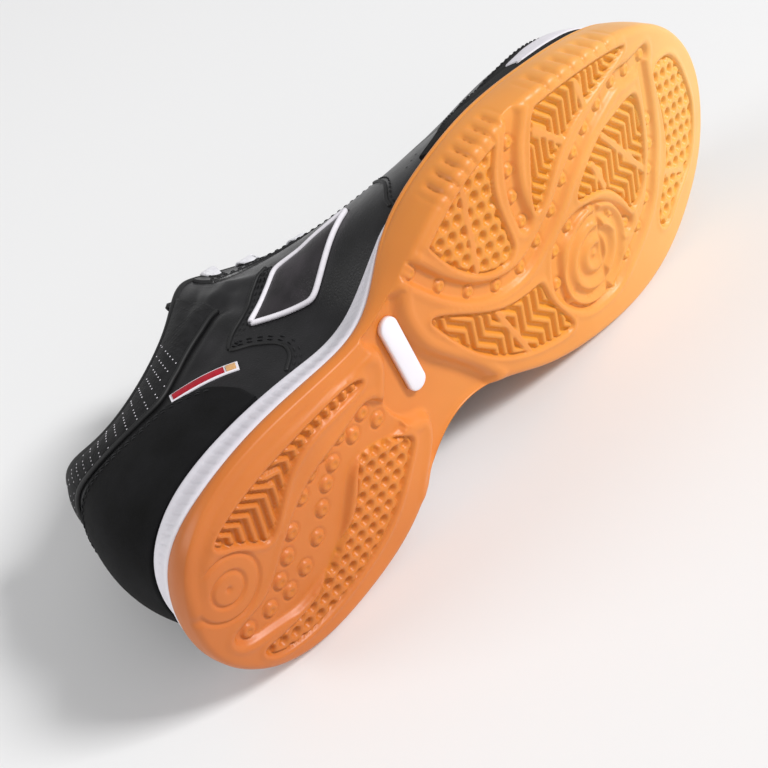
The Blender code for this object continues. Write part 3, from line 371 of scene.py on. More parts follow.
def round_table(rows, places):
    """Read a closed table at PLACES (0 to 1 round the shoe) along a cubic spline through its rows."""
    rows = np.array(rows, float)
    count = len(rows)
    following = np.roll(rows, -1, axis=0)
    preceding = np.roll(rows, 1, axis=0)
    unit = np.eye(count)
    system = 4.0 * unit + np.roll(unit, 1, axis=1) + np.roll(unit, -1, axis=1)
    slopes = np.linalg.solve(system, 3.0 * (following - preceding))
    places = np.asarray(places, float) % 1.0 * count
    start = np.floor(places).astype(int) % count
    end = (start + 1) % count
    t = (places - np.floor(places))[:, None]
    return (
        (2.0 * t**3 - 3.0 * t**2 + 1.0) * rows[start]
        + (t**3 - 2.0 * t**2 + t) * slopes[start]
        + (3.0 * t**2 - 2.0 * t**3) * rows[end]
        + (t**3 - t**2) * slopes[end]
    )


def plan_curve(table, places, step=0.001):
    """Points and outward normals of a closed table's first two columns, in millimetres."""
    shares = [row[:2] for row in table]
    size = np.array([LENGTH, BALL_WIDTH])
    points = round_table(shares, places) * size
    along = (round_table(shares, places + step) - round_table(shares, places - step)) * size
    normals = np.stack([along[:, 1], -along[:, 0]], axis=1)
    return points, normals / np.linalg.norm(normals, axis=1)[:, None]


def outline(shares):
    return np.array([(row[0] * LENGTH, row[1] * BALL_WIDTH) for row in shares])


def round_loop(shares, steps):
    """A smooth closed outline through a table of shares."""
    return round_table(outline(shares), np.arange(steps) / steps)


def smooth_line(shares, steps):
    """A smooth open plan line through a table of shares."""
    return smooth_rows(outline(shares), steps)


def smooth_rows(rows, steps):
    """A smooth open line through a table's rows, as a Catmull-Rom curve."""
    rows = np.array(rows, float)
    rows = np.vstack([2.0 * rows[0] - rows[1], rows, 2.0 * rows[-1] - rows[-2]])
    made = []
    for i in range(1, len(rows) - 2):
        before, start, end, after = rows[i - 1:i + 3]
        for t in np.arange(steps) / steps:
            made.append(0.5 * (
                2.0 * start + (end - before) * t
                + (2.0 * before - 5.0 * start + 4.0 * end - after) * t**2
                + (3.0 * start - before - 3.0 * end + after) * t**3
            ))
    made.append(rows[-2])
    return np.array(made)


def round_angles(count):
    """COUNT even angles round a circle."""
    return np.arange(count) / count * 2.0 * math.pi


def run_lengths(points):
    """The length of a line up to each of its points."""
    return np.concatenate([[0.0], np.cumsum(np.linalg.norm(np.diff(points, axis=0), axis=1))])


def even_line(points, step):
    """Resample a line at even steps of its length."""
    lengths = run_lengths(points)
    at = np.arange(step / 2.0, lengths[-1], step)
    return np.column_stack([np.interp(at, lengths, points[:, i]) for i in range(points.shape[1])])


def ground(x):
    """Height of the tread above the floor from toe spring and heel bevel."""
    toe = TOE_SPRING * np.clip((x - SPRING_START) / (LENGTH - SPRING_START), 0.0, 1.1) ** 2
    heel = HEEL_LIFT * np.clip((HEEL_BEVEL - x) / HEEL_BEVEL, 0.0, 1.2) ** 2
    return toe + heel


def foot_bed(x):
    """Height of the midsole's top."""
    drop = smooth_step((x / LENGTH - 0.26) / 0.28)
    return HEEL_STACK + (BALL_STACK - HEEL_STACK) * drop + ground(x)


def cup_floor(x):
    """Height of the floor inside the cup of the outsole."""
    share = x / LENGTH
    rise = smooth_step((share - 0.24) / 0.06) * smooth_step((0.50 - share) / 0.06)
    return ground(x) + OUTSOLE_FLOOR + WAIST_DEPTH * rise


def distance_to_line(points, line):
    """Distance of POINTS to an open line."""
    best = np.full(len(points), 1e9)
    for a, b in zip(line[:-1], line[1:]):
        side = b - a
        share = np.clip(((points - a) @ side) / (side @ side), 0.0, 1.0)
        gap = points - a - share[:, None] * side
        best = np.minimum(best, gap[:, 0] ** 2 + gap[:, 1] ** 2)
    return np.sqrt(best)


def inside(points, loop):
    """Which POINTS lie in the closed LOOP."""
    found = np.zeros(len(points), bool)
    for a, b in zip(loop, np.roll(loop, -1, axis=0)):
        if a[1] == b[1]:
            continue
        crosses = (a[1] > points[:, 1]) != (b[1] > points[:, 1])
        at = a[0] + (points[:, 1] - a[1]) * (b[0] - a[0]) / (b[1] - a[1])
        found ^= crosses & (points[:, 0] < at)
    return found


def depth_in_loop(points, loop):
    """How far inside the closed LOOP each point lies, negative outside."""
    far = distance_to_line(points, np.vstack([loop, loop[:1]]))
    return np.where(inside(points, loop), far, -far)


def lying_turn():
    """The turn that lays the upright shoe on its inner side."""
    onto_side = Matrix.Rotation(math.radians(-90.0 - LEAN), 3, "X")
    pitch = Matrix.Rotation(math.radians(PITCH), 3, "Y")
    return np.array(pitch @ onto_side)


def insert_loop(width):
    """Plan outline of the capsule in the waist recess."""
    ends = outline(INSERT_ENDS)
    along = ends[1] - ends[0]
    turn = math.atan2(along[1], along[0])
    loop = []
    for end, start in ((ends[1], turn - math.pi / 2.0), (ends[0], turn + math.pi / 2.0)):
        for step in range(19):
            angle = start + math.pi * step / 18.0
            loop.append(end + width / 2.0 * np.array([math.cos(angle), math.sin(angle)]))
    return np.array(loop)


def lying_shift():
    """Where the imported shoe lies, read from the capsule's own box."""
    roof = WAIST_DEPTH - GAP
    loop = insert_loop(INSERT_WIDTH)
    points = np.vstack([
        np.column_stack([loop, np.full(len(loop), roof)]),
        np.column_stack([loop, np.full(len(loop), roof - INSERT_THICKNESS)]),
    ]) @ TURN.T
    low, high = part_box("shank_insert")
    middle = (np.array(low) + np.array(high)) / 2.0 / MM
    return middle - (points.min(axis=0) + points.max(axis=0)) / 2.0


TURN = lying_turn()
SHIFT = lying_shift()


def lay(points):
    """Upright millimetres to the scene's lying metres."""
    return (np.asarray(points) @ TURN.T + SHIFT) * MM


def make_piece(name, points, faces, materials, slots=None, colours=None):
    """A mesh of upright millimetre points, laid down, pressed flat where the floor bears on it."""
    mesh = bpy.data.meshes.new(name)
    places = lay(points)
    places[:, 2] = np.maximum(places[:, 2], 0.0)
    mesh.from_pydata(places.tolist(), [], faces)
    for material in materials:
        mesh.materials.append(material)
    if slots is not None:
        mesh.polygons.foreach_set("material_index", slots)
    if colours is not None:
        layer = mesh.color_attributes.new("tone", "FLOAT_COLOR", "POINT")
        shade = np.column_stack([colours, colours, colours, np.ones(len(colours))])
        layer.data.foreach_set("color", shade.ravel())
    mesh.shade_smooth()
    mesh.update()
    thing = bpy.data.objects.new(name, mesh)
    bpy.context.scene.collection.objects.link(thing)
    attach(thing, "root")
    return thing


def face_out(thing):
    """Turn the faces of a closed piece outward."""
    work = bmesh.new()
    work.from_mesh(thing.data)
    bmesh.ops.recalc_face_normals(work, faces=work.faces)
    work.to_mesh(thing.data)
    work.free()


def grid_faces(rows, columns, wrap=False, first=0):
    """Quads over a grid of points that are stored row by row."""
    faces = []
    for row in range(rows - 1):
        for column in range(columns if wrap else columns - 1):
            a = first + row * columns + column
            b = first + row * columns + (column + 1) % columns
            faces.append((a, b, b + columns, a + columns))
    return faces


def ring_tree(ring):
    """A search tree over the points of a plan ring."""
    tree = KDTree(len(ring))
    for i, point in enumerate(ring):
        tree.insert((point[0], point[1], 0.0), i)
    tree.balance()
    return tree


def join_plan(rim, inner):
    """A plan mesh through a ring and the points inside it: points (the ring first), triangles."""
    flat = [Vector(point) for point in np.vstack([rim, inner])]
    links = [(i, (i + 1) % len(rim)) for i in range(len(rim))]
    corners, _, faces, _, _, _ = delaunay_2d_cdt(flat, links, [], 1, 1e-7)
    return np.array([tuple(corner) for corner in corners]), [tuple(face) for face in faces]


def plan_faces(triangles, steps, rim, first):
    """Triangles of a plan whose ring of STEPS points starts at RIM and its other points at FIRST."""
    return [tuple(rim + i if i < steps else first + i - steps for i in face) for face in triangles]


def fill_plan(rim, spacing):
    """Fill a plan ring: points (the ring first), triangles."""
    low = rim.min(axis=0)
    high = rim.max(axis=0)
    ys = np.arange(low[1], high[1], spacing * ROW_SHARE)
    xs = np.arange(low[0], high[0], spacing)
    inner = np.array([(x + (j % 2) * spacing / 2.0, y) for j, y in enumerate(ys) for x in xs])
    inner = inner[inside(inner, rim)]
    tree = ring_tree(rim)
    far = np.array([tree.find((x, y, 0.0))[2] for x, y in inner])
    return join_plan(rim, inner[far > spacing * 0.6])


def tube(name, points, radius, material, sides=8, closed=False):
    """A round cord or piping through POINTS."""
    points = np.asarray(points)
    if closed:
        ahead = np.roll(points, -1, axis=0) - np.roll(points, 1, axis=0)
    else:
        ahead = np.gradient(points, axis=0)
    ahead /= np.linalg.norm(ahead, axis=1)[:, None]
    up = np.array([0.0, 0.0, 1.0])
    side = np.cross(ahead, up)
    side /= np.maximum(np.linalg.norm(side, axis=1)[:, None], 1e-6)
    top = np.cross(side, ahead)
    angles = round_angles(sides)
    radius = np.broadcast_to(radius, len(points))
    made = []
    for i in range(len(points)):
        ring = side[i] * np.cos(angles)[:, None] + top[i] * np.sin(angles)[:, None]
        made.append(points[i] + ring * radius[i])
    faces = grid_faces(len(points), sides, wrap=True)
    last = (len(points) - 1) * sides
    if closed:
        faces.extend((last + k, last + (k + 1) % sides, (k + 1) % sides, k) for k in range(sides))
    else:
        faces.append(tuple(range(sides)))
        faces.append(tuple(last + k for k in range(sides)))
    thing = make_piece(name, np.vstack(made), faces, [material])
    face_out(thing)
    return thing


class Look:
    """A Principled material and the nodes of its pattern, laid out along the mesh's own axes."""

    def __init__(self, name, colour, roughness):
        self.material = bpy.data.materials.new(name)
        self.material.use_nodes = True
        self.nodes = self.material.node_tree.nodes
        self.links = self.material.node_tree.links
        self.place = self.nodes.new("ShaderNodeTexCoord").outputs["Object"]
        self.inputs = self.nodes["Principled BSDF"].inputs
        self.inputs["Base Color"].default_value = (*colour, 1.0)
        self.inputs["Roughness"].default_value = roughness

    def noise(self, scale, detail=3.0, roughness=0.55):
        node = self.nodes.new("ShaderNodeTexNoise")
        node.inputs["Scale"].default_value = scale
        node.inputs["Detail"].default_value = detail
        node.inputs["Roughness"].default_value = roughness
        self.links.new(self.place, node.inputs["Vector"])
        return node.outputs["Fac"]

    def cells(self, scale, feature="F1"):
        node = self.nodes.new("ShaderNodeTexVoronoi")
        node.feature = feature
        node.inputs["Scale"].default_value = scale
        self.links.new(self.place, node.inputs["Vector"])
        return node.outputs["Distance"]

    def waves(self, direction, scale, distortion=0.0):
        node = self.nodes.new("ShaderNodeTexWave")
        node.bands_direction = direction
        node.inputs["Scale"].default_value = scale
        node.inputs["Distortion"].default_value = distortion
        self.links.new(self.place, node.inputs["Vector"])
        return node.outputs["Fac"]

    def remap(self, value, ends, low, high):
        """VALUE carried onto the range from LOW to HIGH; ENDS is "From" or "To"."""
        node = self.nodes.new("ShaderNodeMapRange")
        node.inputs[f"{ends} Min"].default_value = low
        node.inputs[f"{ends} Max"].default_value = high
        self.links.new(value, node.inputs["Value"])
        return node.outputs["Result"]

    def ramp(self, value, stops):
        """A colour ramp through (place, colour) stops."""
        node = self.nodes.new("ShaderNodeValToRGB")
        elements = node.color_ramp.elements
        while len(elements) < len(stops):
            elements.new(0.5)
        for element, (place, colour) in zip(elements, stops):
            element.position = place
            element.color = (*colour, 1.0)
        self.links.new(value, node.inputs["Fac"])
        return node.outputs["Color"]

    def mix(self, share, first, second, kind="MIX"):
        node = self.nodes.new("ShaderNodeMix")
        node.data_type = "RGBA"
        node.blend_type = kind
        for value, socket in ((share, node.inputs[0]), (first, node.inputs[6]), (second, node.inputs[7])):
            if isinstance(value, bpy.types.NodeSocket):
                self.links.new(value, socket)
            else:
                socket.default_value = value
        return node.outputs[2]

    def tone(self):
        """The tone painted on the mesh's points."""
        node = self.nodes.new("ShaderNodeVertexColor")
        node.layer_name = "tone"
        return node.outputs["Color"]

    def feed(self, value, socket):
        self.links.new(value, self.inputs[socket])

    def bump(self, heights):
        """Chain bump nodes: each height is (value, strength, distance in millimetres)."""
        before = None
        for value, strength, distance in heights:
            node = self.nodes.new("ShaderNodeBump")
            node.inputs["Strength"].default_value = strength
            node.inputs["Distance"].default_value = distance * MM
            self.links.new(value, node.inputs["Height"])
            if before is not None:
                self.links.new(before, node.inputs["Normal"])
            before = node.outputs["Normal"]
        self.feed(before, "Normal")


def gum_rubber():
    """Amber gum rubber scattering some light inside: deeper orange on the lands, yellower where painted
    bounce light fills the recessed fields, darker at the heel and paler at the toe partly from painted
    light.
    """
    look = Look("gum_rubber_fine", (0.80, 0.33, 0.08), 0.38)
    axes = look.nodes.new("ShaderNodeSeparateXYZ")
    look.links.new(look.place, axes.inputs[0])
    # Darker orange at the heel and paler amber at the toe: partly the gum's own tone, partly painted light
    # falling brighter on the toe.
    along = look.remap(axes.outputs["X"], "From", -0.13, 0.13)
    land = look.ramp(along, [
        (0.0, (0.60, 0.170, 0.032)), (0.30, (0.70, 0.215, 0.038)), (0.62, (0.84, 0.325, 0.062)),
        (1.0, (0.90, 0.50, 0.150)),
    ])
    field = look.ramp(along, [
        (0.0, (0.58, 0.165, 0.018)), (0.30, (0.68, 0.220, 0.022)), (0.62, (0.84, 0.350, 0.030)),
        (1.0, (0.92, 0.46, 0.065)),
    ])
    cloud = look.noise(28.0, 2.0)
    # Where the points' tone is high, the field ramp's deeper, more saturated colour is laid on as painted
    # bounce light.
    colour = look.mix(look.tone(), land, field)
    cloudy = look.ramp(cloud, [(0.3, (0.93, 0.91, 0.89)), (0.7, (1.04, 1.05, 1.06))])
    look.feed(look.mix(1.0, colour, cloudy, "MULTIPLY"), "Base Color")
    look.inputs["Specular IOR Level"].default_value = 0.38
    look.inputs["Subsurface Weight"].default_value = 0.10
    look.inputs["Subsurface Radius"].default_value = (1.0, 0.42, 0.12)
    look.inputs["Subsurface Scale"].default_value = 0.0018
    look.feed(look.remap(look.noise(160.0, 4.0), "To", 0.33, 0.46), "Roughness")
    look.bump([(look.noise(1400.0, 2.0), 0.12, 0.1)])
    return look.material


def white_foam(name, hatched):
    """White moulded foam with a skin of fine grain, hatched with fine slanting lines if asked."""
    look = Look(name, (0.82, 0.82, 0.85), 0.55)
    lines = look.waves("DIAGONAL", 180.0)
    tint = look.ramp(look.noise(35.0, 2.0), [(0.3, (0.80, 0.765, 0.83)), (0.7, (0.88, 0.855, 0.91))])
    look.feed(tint, "Base Color")
    look.inputs["Subsurface Weight"].default_value = 0.15
    look.inputs["Subsurface Radius"].default_value = (1.0, 0.9, 0.9)
    look.inputs["Subsurface Scale"].default_value = 0.002
    look.bump([
        (lines, 0.2 if hatched else 0.0, 0.2),
        (look.cells(900.0), 0.25, 0.12),
        (look.noise(2200.0, 2.0), 0.2, 0.08),
    ])
    return look.material


def leather(name, low, high, rough):
    """Black grained leather: pebbled cells with fine pores and uneven sheen."""
    look = Look(name, high, rough)
    look.feed(look.ramp(look.noise(60.0, 4.0), [(0.35, low), (0.7, high)]), "Base Color")
    look.feed(look.remap(look.noise(130.0, 4.0), "To", rough - 0.06, rough + 0.14), "Roughness")
    look.inputs["Specular IOR Level"].default_value = 0.42
    look.inputs["Sheen Weight"].default_value = 0.02
    look.bump([
        (look.noise(90.0, 3.0), 0.30, 0.5),
        (look.cells(950.0, "DISTANCE_TO_EDGE"), 0.45, 0.16),
        (look.noise(1700.0, 3.0), 0.25, 0.12),
    ])
    return look.material


def suede():
    """Black suede: short brushed nap, no gloss."""
    look = Look("suede_nap", (0.010, 0.010, 0.011), 0.95)
    patches = look.ramp(look.noise(70.0, 5.0), [(0.3, (0.003, 0.003, 0.003)), (0.75, (0.009, 0.009, 0.010))])
    look.feed(patches, "Base Color")
    look.inputs["Specular IOR Level"].default_value = 0.15
    look.inputs["Sheen Weight"].default_value = 0.02
    look.inputs["Sheen Roughness"].default_value = 0.6
    look.bump([(look.noise(700.0, 5.0, 0.7), 0.5, 0.22), (look.noise(2600.0, 3.0, 0.7), 0.6, 0.15)])
    return look.material


def cloth(name, low, high, pitch, sheen=0.2):
    """Woven or knitted textile with a thread every PITCH millimetres."""
    look = Look(name, high, 0.85)
    scale = 1.0 / (pitch * MM)
    weave = look.waves("X", scale / 6.2832, 0.4)
    for direction in ("Y", "Z"):
        join = look.nodes.new("ShaderNodeMath")
        join.operation = "MULTIPLY"
        look.links.new(weave, join.inputs[0])
        look.links.new(look.waves(direction, scale / 6.2832, 0.4), join.inputs[1])
        weave = join.outputs[0]
    look.feed(look.ramp(look.noise(300.0, 3.0), [(0.3, low), (0.7, high)]), "Base Color")
    look.inputs["Sheen Weight"].default_value = sheen
    look.inputs["Specular IOR Level"].default_value = 0.25
    look.bump([(weave, 0.5, 0.25), (look.noise(2400.0, 2.0), 0.4, 0.12)])
    return look.material


def enamel(name, colour, roughness=0.5):
    """A plain moulded or printed colour with fine grain."""
    look = Look(name, colour, roughness)
    dark = tuple(0.9 * channel for channel in colour)
    look.feed(look.ramp(look.noise(400.0, 2.0), [(0.3, dark), (0.7, colour)]), "Base Color")
    look.bump([(look.noise(2000.0, 2.0), 0.15, 0.08)])
    return look.material


def scallop_groove(spokes, climb):
    """Fall of the outer wall between convex scallops; CLIMB goes up the wall from 0 to 1."""
    fall = np.zeros(len(spokes))
    for first, last, count in SCALLOPS:
        lean = 0.16 * np.clip(climb, 0.0, 1.0) ** 1.4
        share = (spokes - lean - first) / (last - first) * count
        across = 2.0 * (share % 1.0) - 1.0
        round_top = 1.0 - np.sqrt(np.clip(1.0 - 0.93 * np.abs(across) ** 2.2, 0.0, 1.0))
        within = smooth_step(share * 3.0) * smooth_step((count - share) * 3.0)
        top = SCALLOP_REACH - 0.12 * np.abs(across) ** 2
        fade = smooth_step((top - climb) / 0.16)
        fall = np.maximum(fall, SCALLOP_DEPTH * round_top * within * fade)
    return fall


def honeycomb(points, pitch):
    """Depth share of round pits in a honeycomb, 1 in a pit and 0 on the walls between."""
    turn = math.radians(HONEYCOMB_TURN)
    u = points[:, 0] * math.cos(turn) + points[:, 1] * math.sin(turn)
    v = points[:, 1] * math.cos(turn) - points[:, 0] * math.sin(turn)
    row_step = pitch * ROW_SHARE
    best = np.full(len(points), 1e9)
    for offset in (0.0, 0.5):
        row = (np.round(v / (2.0 * row_step) - offset) + offset) * 2.0 * row_step
        column = (np.round(u / pitch - offset) + offset) * pitch
        best = np.minimum(best, np.hypot(u - column, v - row))
    return smooth_step((0.40 * pitch - best) / (0.19 * pitch))


def rib_profile(phase):
    """Groove share across ribs one PHASE apart: 0 on a rib's round top, 1 on the groove's floor."""
    return smooth_step(1.55 * (0.5 - 0.5 * np.cos(2.0 * math.pi * phase)) - 0.28)


def zigzag(points, spacing, first):
    """Groove share of zigzag ribs."""
    ahead = np.array(ZIGZAG_AHEAD)
    side = np.array([ahead[1], -ahead[0]])
    fold = np.abs(((points @ ahead - ZIGZAG_FIRST_TURN) / ZIGZAG_ARM) % 2.0 - 1.0)
    return rib_profile((points @ side - ZIGZAG_SWING * fold - first) / spacing)


def chevrons(points):
    """Groove share of the chevrons on the outer heel."""
    ridge = outline(CHEVRON_RIDGE)
    off = points[:, 1] - np.interp(points[:, 0], ridge[:, 0], ridge[:, 1])
    run = np.where(off < 0.0, CHEVRON_SLOPES[0] * off, CHEVRON_SLOPES[1] * off)
    return rib_profile((points[:, 0] - run) / CHEVRON_SPACING)


def lip(depth, start, width):
    """A low raised lip beside a recess whose signed DEPTH is given."""
    return np.exp(-(((depth + start) / width) ** 2))


def channel_gap(points):
    """Distance of each point to the nearest centre line of the domed channels."""
    lines = [smooth_line(shares, 6) for shares in (LONG_CHANNEL, CROSS_CHANNEL, LOOP_CHANNEL)]
    return np.min([distance_to_line(points, line) for line in lines], axis=0)


def tread_relief(points, places, margin):
    """How far the tread is cut back at each point, and how much painted bounce light each point takes."""
    spokes = places * SPOKES
    painted_bounce = np.zeros(len(points))
    heel = depth_in_loop(points, round_loop(HEEL_CHANNEL, 90))
    hollow = np.maximum(CHANNEL_WIDTH / 2.0 - channel_gap(points), heel)
    cut = CHANNEL_DEPTH * smooth_step((hollow + 0.8) / 2.2)
    raised = lip(hollow, 1.9, 0.9)
    for shares, pitch, first in (
        [(shares, pitch, None) for shares, pitch in HONEYCOMB_FIELDS]
        + ZIGZAG_FIELDS + [(OUTER_HEEL_FIELD, None, None)]
    ):
        depth = depth_in_loop(points, round_loop(shares, 8 * len(shares)))
        depth = np.minimum(depth, margin - TREAD_INSET - 1.8)
        share = smooth_step((depth + 0.35) / 0.7)
        if first is not None:
            pattern = zigzag(points, pitch, first)
        elif pitch is not None:
            pattern = honeycomb(points, pitch)
        else:
            pattern = chevrons(points)
        edge = 1.0 - smooth_step((depth - 0.3) / 0.7)
        pattern = np.maximum(pattern, 0.8 * edge)
        cut = np.maximum(cut, share * FIELD_DEPTH * (0.16 + 0.84 * pattern))
        # The fields and their groove floors take painted bounce light.
        painted_bounce = np.maximum(painted_bounce, share * (0.45 + 0.55 * pattern))
        raised = np.maximum(raised, lip(depth, 1.3, 0.8))
    for start, end in FLEX_BARS:
        far = distance_to_line(points, outline([start, end]))
        keep = smooth_step((far - 0.9) / 0.8)
        cut = np.where(far < 1.8, cut * keep + 0.15 * (1.0 - keep) * (cut > 0.1), cut)
        painted_bounce *= keep
    ring = np.hypot(*(points - outline([BALL_RING])[0]).T)
    ripple = 0.5 - 0.5 * np.cos(2.0 * math.pi * (ring - 5.0) / 6.25)
    split = distance_to_line(points, outline(RING_SPLIT))
    ripple = np.maximum(ripple, smooth_step((1.7 - split) / 1.2))
    disc = smooth_step((18.6 - ring) / 1.2)
    cut = cut * (1.0 - disc) + disc * 1.5 * ripple
    target = np.hypot(*(points - outline([HEEL_RING])[0]).T)
    for radius, width in ((10.9, 0.6), (5.6, 0.6), (0.0, 0.9)):
        cut = np.maximum(cut, 0.8 * np.exp(-(((target - radius) / width) ** 2)))
    for dome in dome_places():
        far = np.hypot(*(points - dome).T)
        radius = HEEL_DOME_RADIUS if dome[0] < 0.35 * LENGTH else DOME_RADIUS
        round_top = np.sqrt(np.clip(1.0 - (far / radius) ** 2, 0.0, 1.0))
        lift = DOME_HEIGHT * round_top - DOME_DIMPLE * np.exp(-((far / 0.9) ** 2))
        lift -= 0.35 * np.exp(-(((far - radius - 0.35) / 0.4) ** 2))
        deep = cut > 0.6 * CHANNEL_DEPTH
        cut = cut - lift * deep
        # The dome middles take the painted bounce light too, a deeper yellow in their dimples.
        painted_bounce = np.maximum(painted_bounce, 0.9 * np.exp(-((far / 1.3) ** 2)) * deep)
    waist = depth_in_loop(points, round_loop(WAIST_RECESS, 120))
    recess = smooth_step((waist + 0.8) / 3.4)
    cut = np.maximum(cut, WAIST_DEPTH * recess)
    raised = np.maximum(raised, lip(waist, 2.2, 1.2)) * (1.0 - recess)
    cove = smooth_step((6.4 - margin) / 3.2)
    cove *= smooth_step((spokes - 0.3) / 1.0) * smooth_step((5.6 - spokes) / 1.0)
    cut = np.maximum(cut, 1.5 * cove)
    cut = np.maximum(cut, scallop_groove(spokes, 0.0) * smooth_step((3.6 - margin) / 1.2))
    cut = cut - 0.40 * raised * (cut < 0.5) * smooth_step(margin / 3.0)
    return cut, painted_bounce


def dome_places():
    """Middles of the small domes in the channels."""
    shares = LONG_CHANNEL + CROSS_CHANNEL[1:] + LOOP_CHANNEL[2:] + HEEL_DOMES
    return outline(shares)


def sole_rings(places):
    ring, normals = plan_curve(SOLE_RING, places)
    rows = round_table(SOLE_RING, places)
    return ring, normals, rows[:, 2], rows[:, 3]


def tread_plan(edge, spacing):
    """Plan mesh of the tread: fine in the patterned parts, coarse on the smooth lands."""
    low = edge.min(axis=0)
    high = edge.max(axis=0)
    rows = np.arange(round((high[1] - low[1]) / (spacing * ROW_SHARE)) + 1)
    columns = np.arange(round((high[0] - low[0]) / spacing) + 1)
    row, column = (grid.ravel() for grid in np.meshgrid(rows, columns, indexing="ij"))
    points = np.column_stack([
        low[0] + (column + (row % 2) * 0.5) * spacing, low[1] + row * spacing * ROW_SHARE,
    ])
    coarse = (row % 2 == 0) & ((column + row // 2) % 2 == 0)
    detail = channel_gap(points) < 4.6
    loops = [shares for shares, _ in HONEYCOMB_FIELDS] + [row[0] for row in ZIGZAG_FIELDS]
    for shares in loops + [OUTER_HEEL_FIELD, HEEL_CHANNEL]:
        detail |= depth_in_loop(points, round_loop(shares, 60)) > -1.8
    for centre, reach in ((BALL_RING, 19.0), (HEEL_RING, 12.4)):
        detail |= np.hypot(*(points - outline([centre])[0]).T) < reach
    keep = inside(points, edge) & (coarse | detail)
    points = points[keep]
    tree = ring_tree(edge)
    found = [tree.find((x, y, 0.0)) for x, y in points]
    near = np.array([item[2] for item in found])
    index = np.array([item[1] for item in found])
    far = near > spacing * 0.6
    return *join_plan(edge, points[far]), index[far], near[far]


def build_outsole(material):
    """Gum cup sole with its moulded tread and scalloped side."""
    steps = 1040 if FINE else 500
    spacing = 0.525 if FINE else 1.0
    places = np.arange(steps) / steps
    spokes = places * SPOKES
    ring, normals, wall, lean = sole_rings(places)
    edge = ring - normals * TREAD_INSET
    base_cut, _ = tread_relief(edge, places, np.full(steps, TREAD_INSET))
    base = ground(edge[:, 0])
    rows = [np.column_stack([edge, base + base_cut])]
    corner_foot = scallop_groove(spokes, np.zeros(steps))
    for angle in np.radians([18.0, 36.0, 54.0, 72.0, 90.0]):
        inset = TREAD_INSET * (1.0 - math.sin(angle)) + corner_foot * math.sin(angle)
        rise = CORNER_RISE * (1.0 - math.cos(angle))
        at = ring - normals * inset[:, None]
        rows.append(np.column_stack([at, base + rise + base_cut * math.cos(angle)]))
    lined = smooth_step((spokes - 5.6) / 0.8) * smooth_step((20.6 - spokes) / 0.8)
    for share in (0.06, 0.13, 0.2, 0.27, 0.34, 0.41, 0.48, 0.55, 0.62, 0.70, 0.78, 0.83, 0.86, 0.89, 0.94):
        height = (base + CORNER_RISE) + (wall - base - CORNER_RISE) * share
        bulge = 0.6 * math.sin(math.pi * share)
        line = 0.45 * lined * math.exp(-((share - 0.855) / 0.022) ** 2)
        inset = lean * share - bulge + line + scallop_groove(spokes, np.full(steps, share))
        rows.append(np.column_stack([ring - normals * inset[:, None], height]))
    for share in (0.0, 0.35, 0.7, 1.0):
        angle = share * math.pi / 2.0
        inset = lean + 0.96 * (1.0 - math.cos(angle))
        height = wall - 0.5 + 0.5 * math.sin(angle)
        rows.append(np.column_stack([ring - normals * inset[:, None], height]))
    inner = ring - normals * (lean + CUP_WALL)[:, None]
    rows.append(np.column_stack([inner, wall]))
    rows.append(np.column_stack([inner, cup_floor(inner[:, 0])]))
    points = np.vstack(rows)
    faces = grid_faces(len(rows), steps, wrap=True)
    tones = np.zeros(len(points))
    plan, triangles, nearest, gap = tread_plan(edge, spacing)
    inner_plan = plan[steps:]
    cut, painted_bounce = tread_relief(inner_plan, places[nearest], gap + TREAD_INSET)
    first = len(points)
    points = np.vstack([points, np.column_stack([inner_plan, ground(inner_plan[:, 0]) + cut])])
    # The painted bounce light is stored on the tread's points as their tone.
    tones = np.concatenate([tones, painted_bounce])
    faces.extend(plan_faces(triangles, steps, 0, first))
    plan, triangles = fill_plan(inner, 12.0)
    first = len(points)
    last_row = (len(rows) - 1) * steps
    floor_points = plan[steps:]
    points = np.vstack([points, np.column_stack([floor_points, cup_floor(floor_points[:, 0])])])
    tones = np.concatenate([tones, np.zeros(len(floor_points))])
    faces.extend(plan_faces(triangles, steps, last_row, first))
    sole = make_piece("outsole_tread", points, faces, [material], colours=tones)
    face_out(sole)
    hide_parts("outsole")


def hem_ring(places):
    line, normals = plan_curve(UPPER_RING, places)
    return line - normals * CUP_WALL, normals


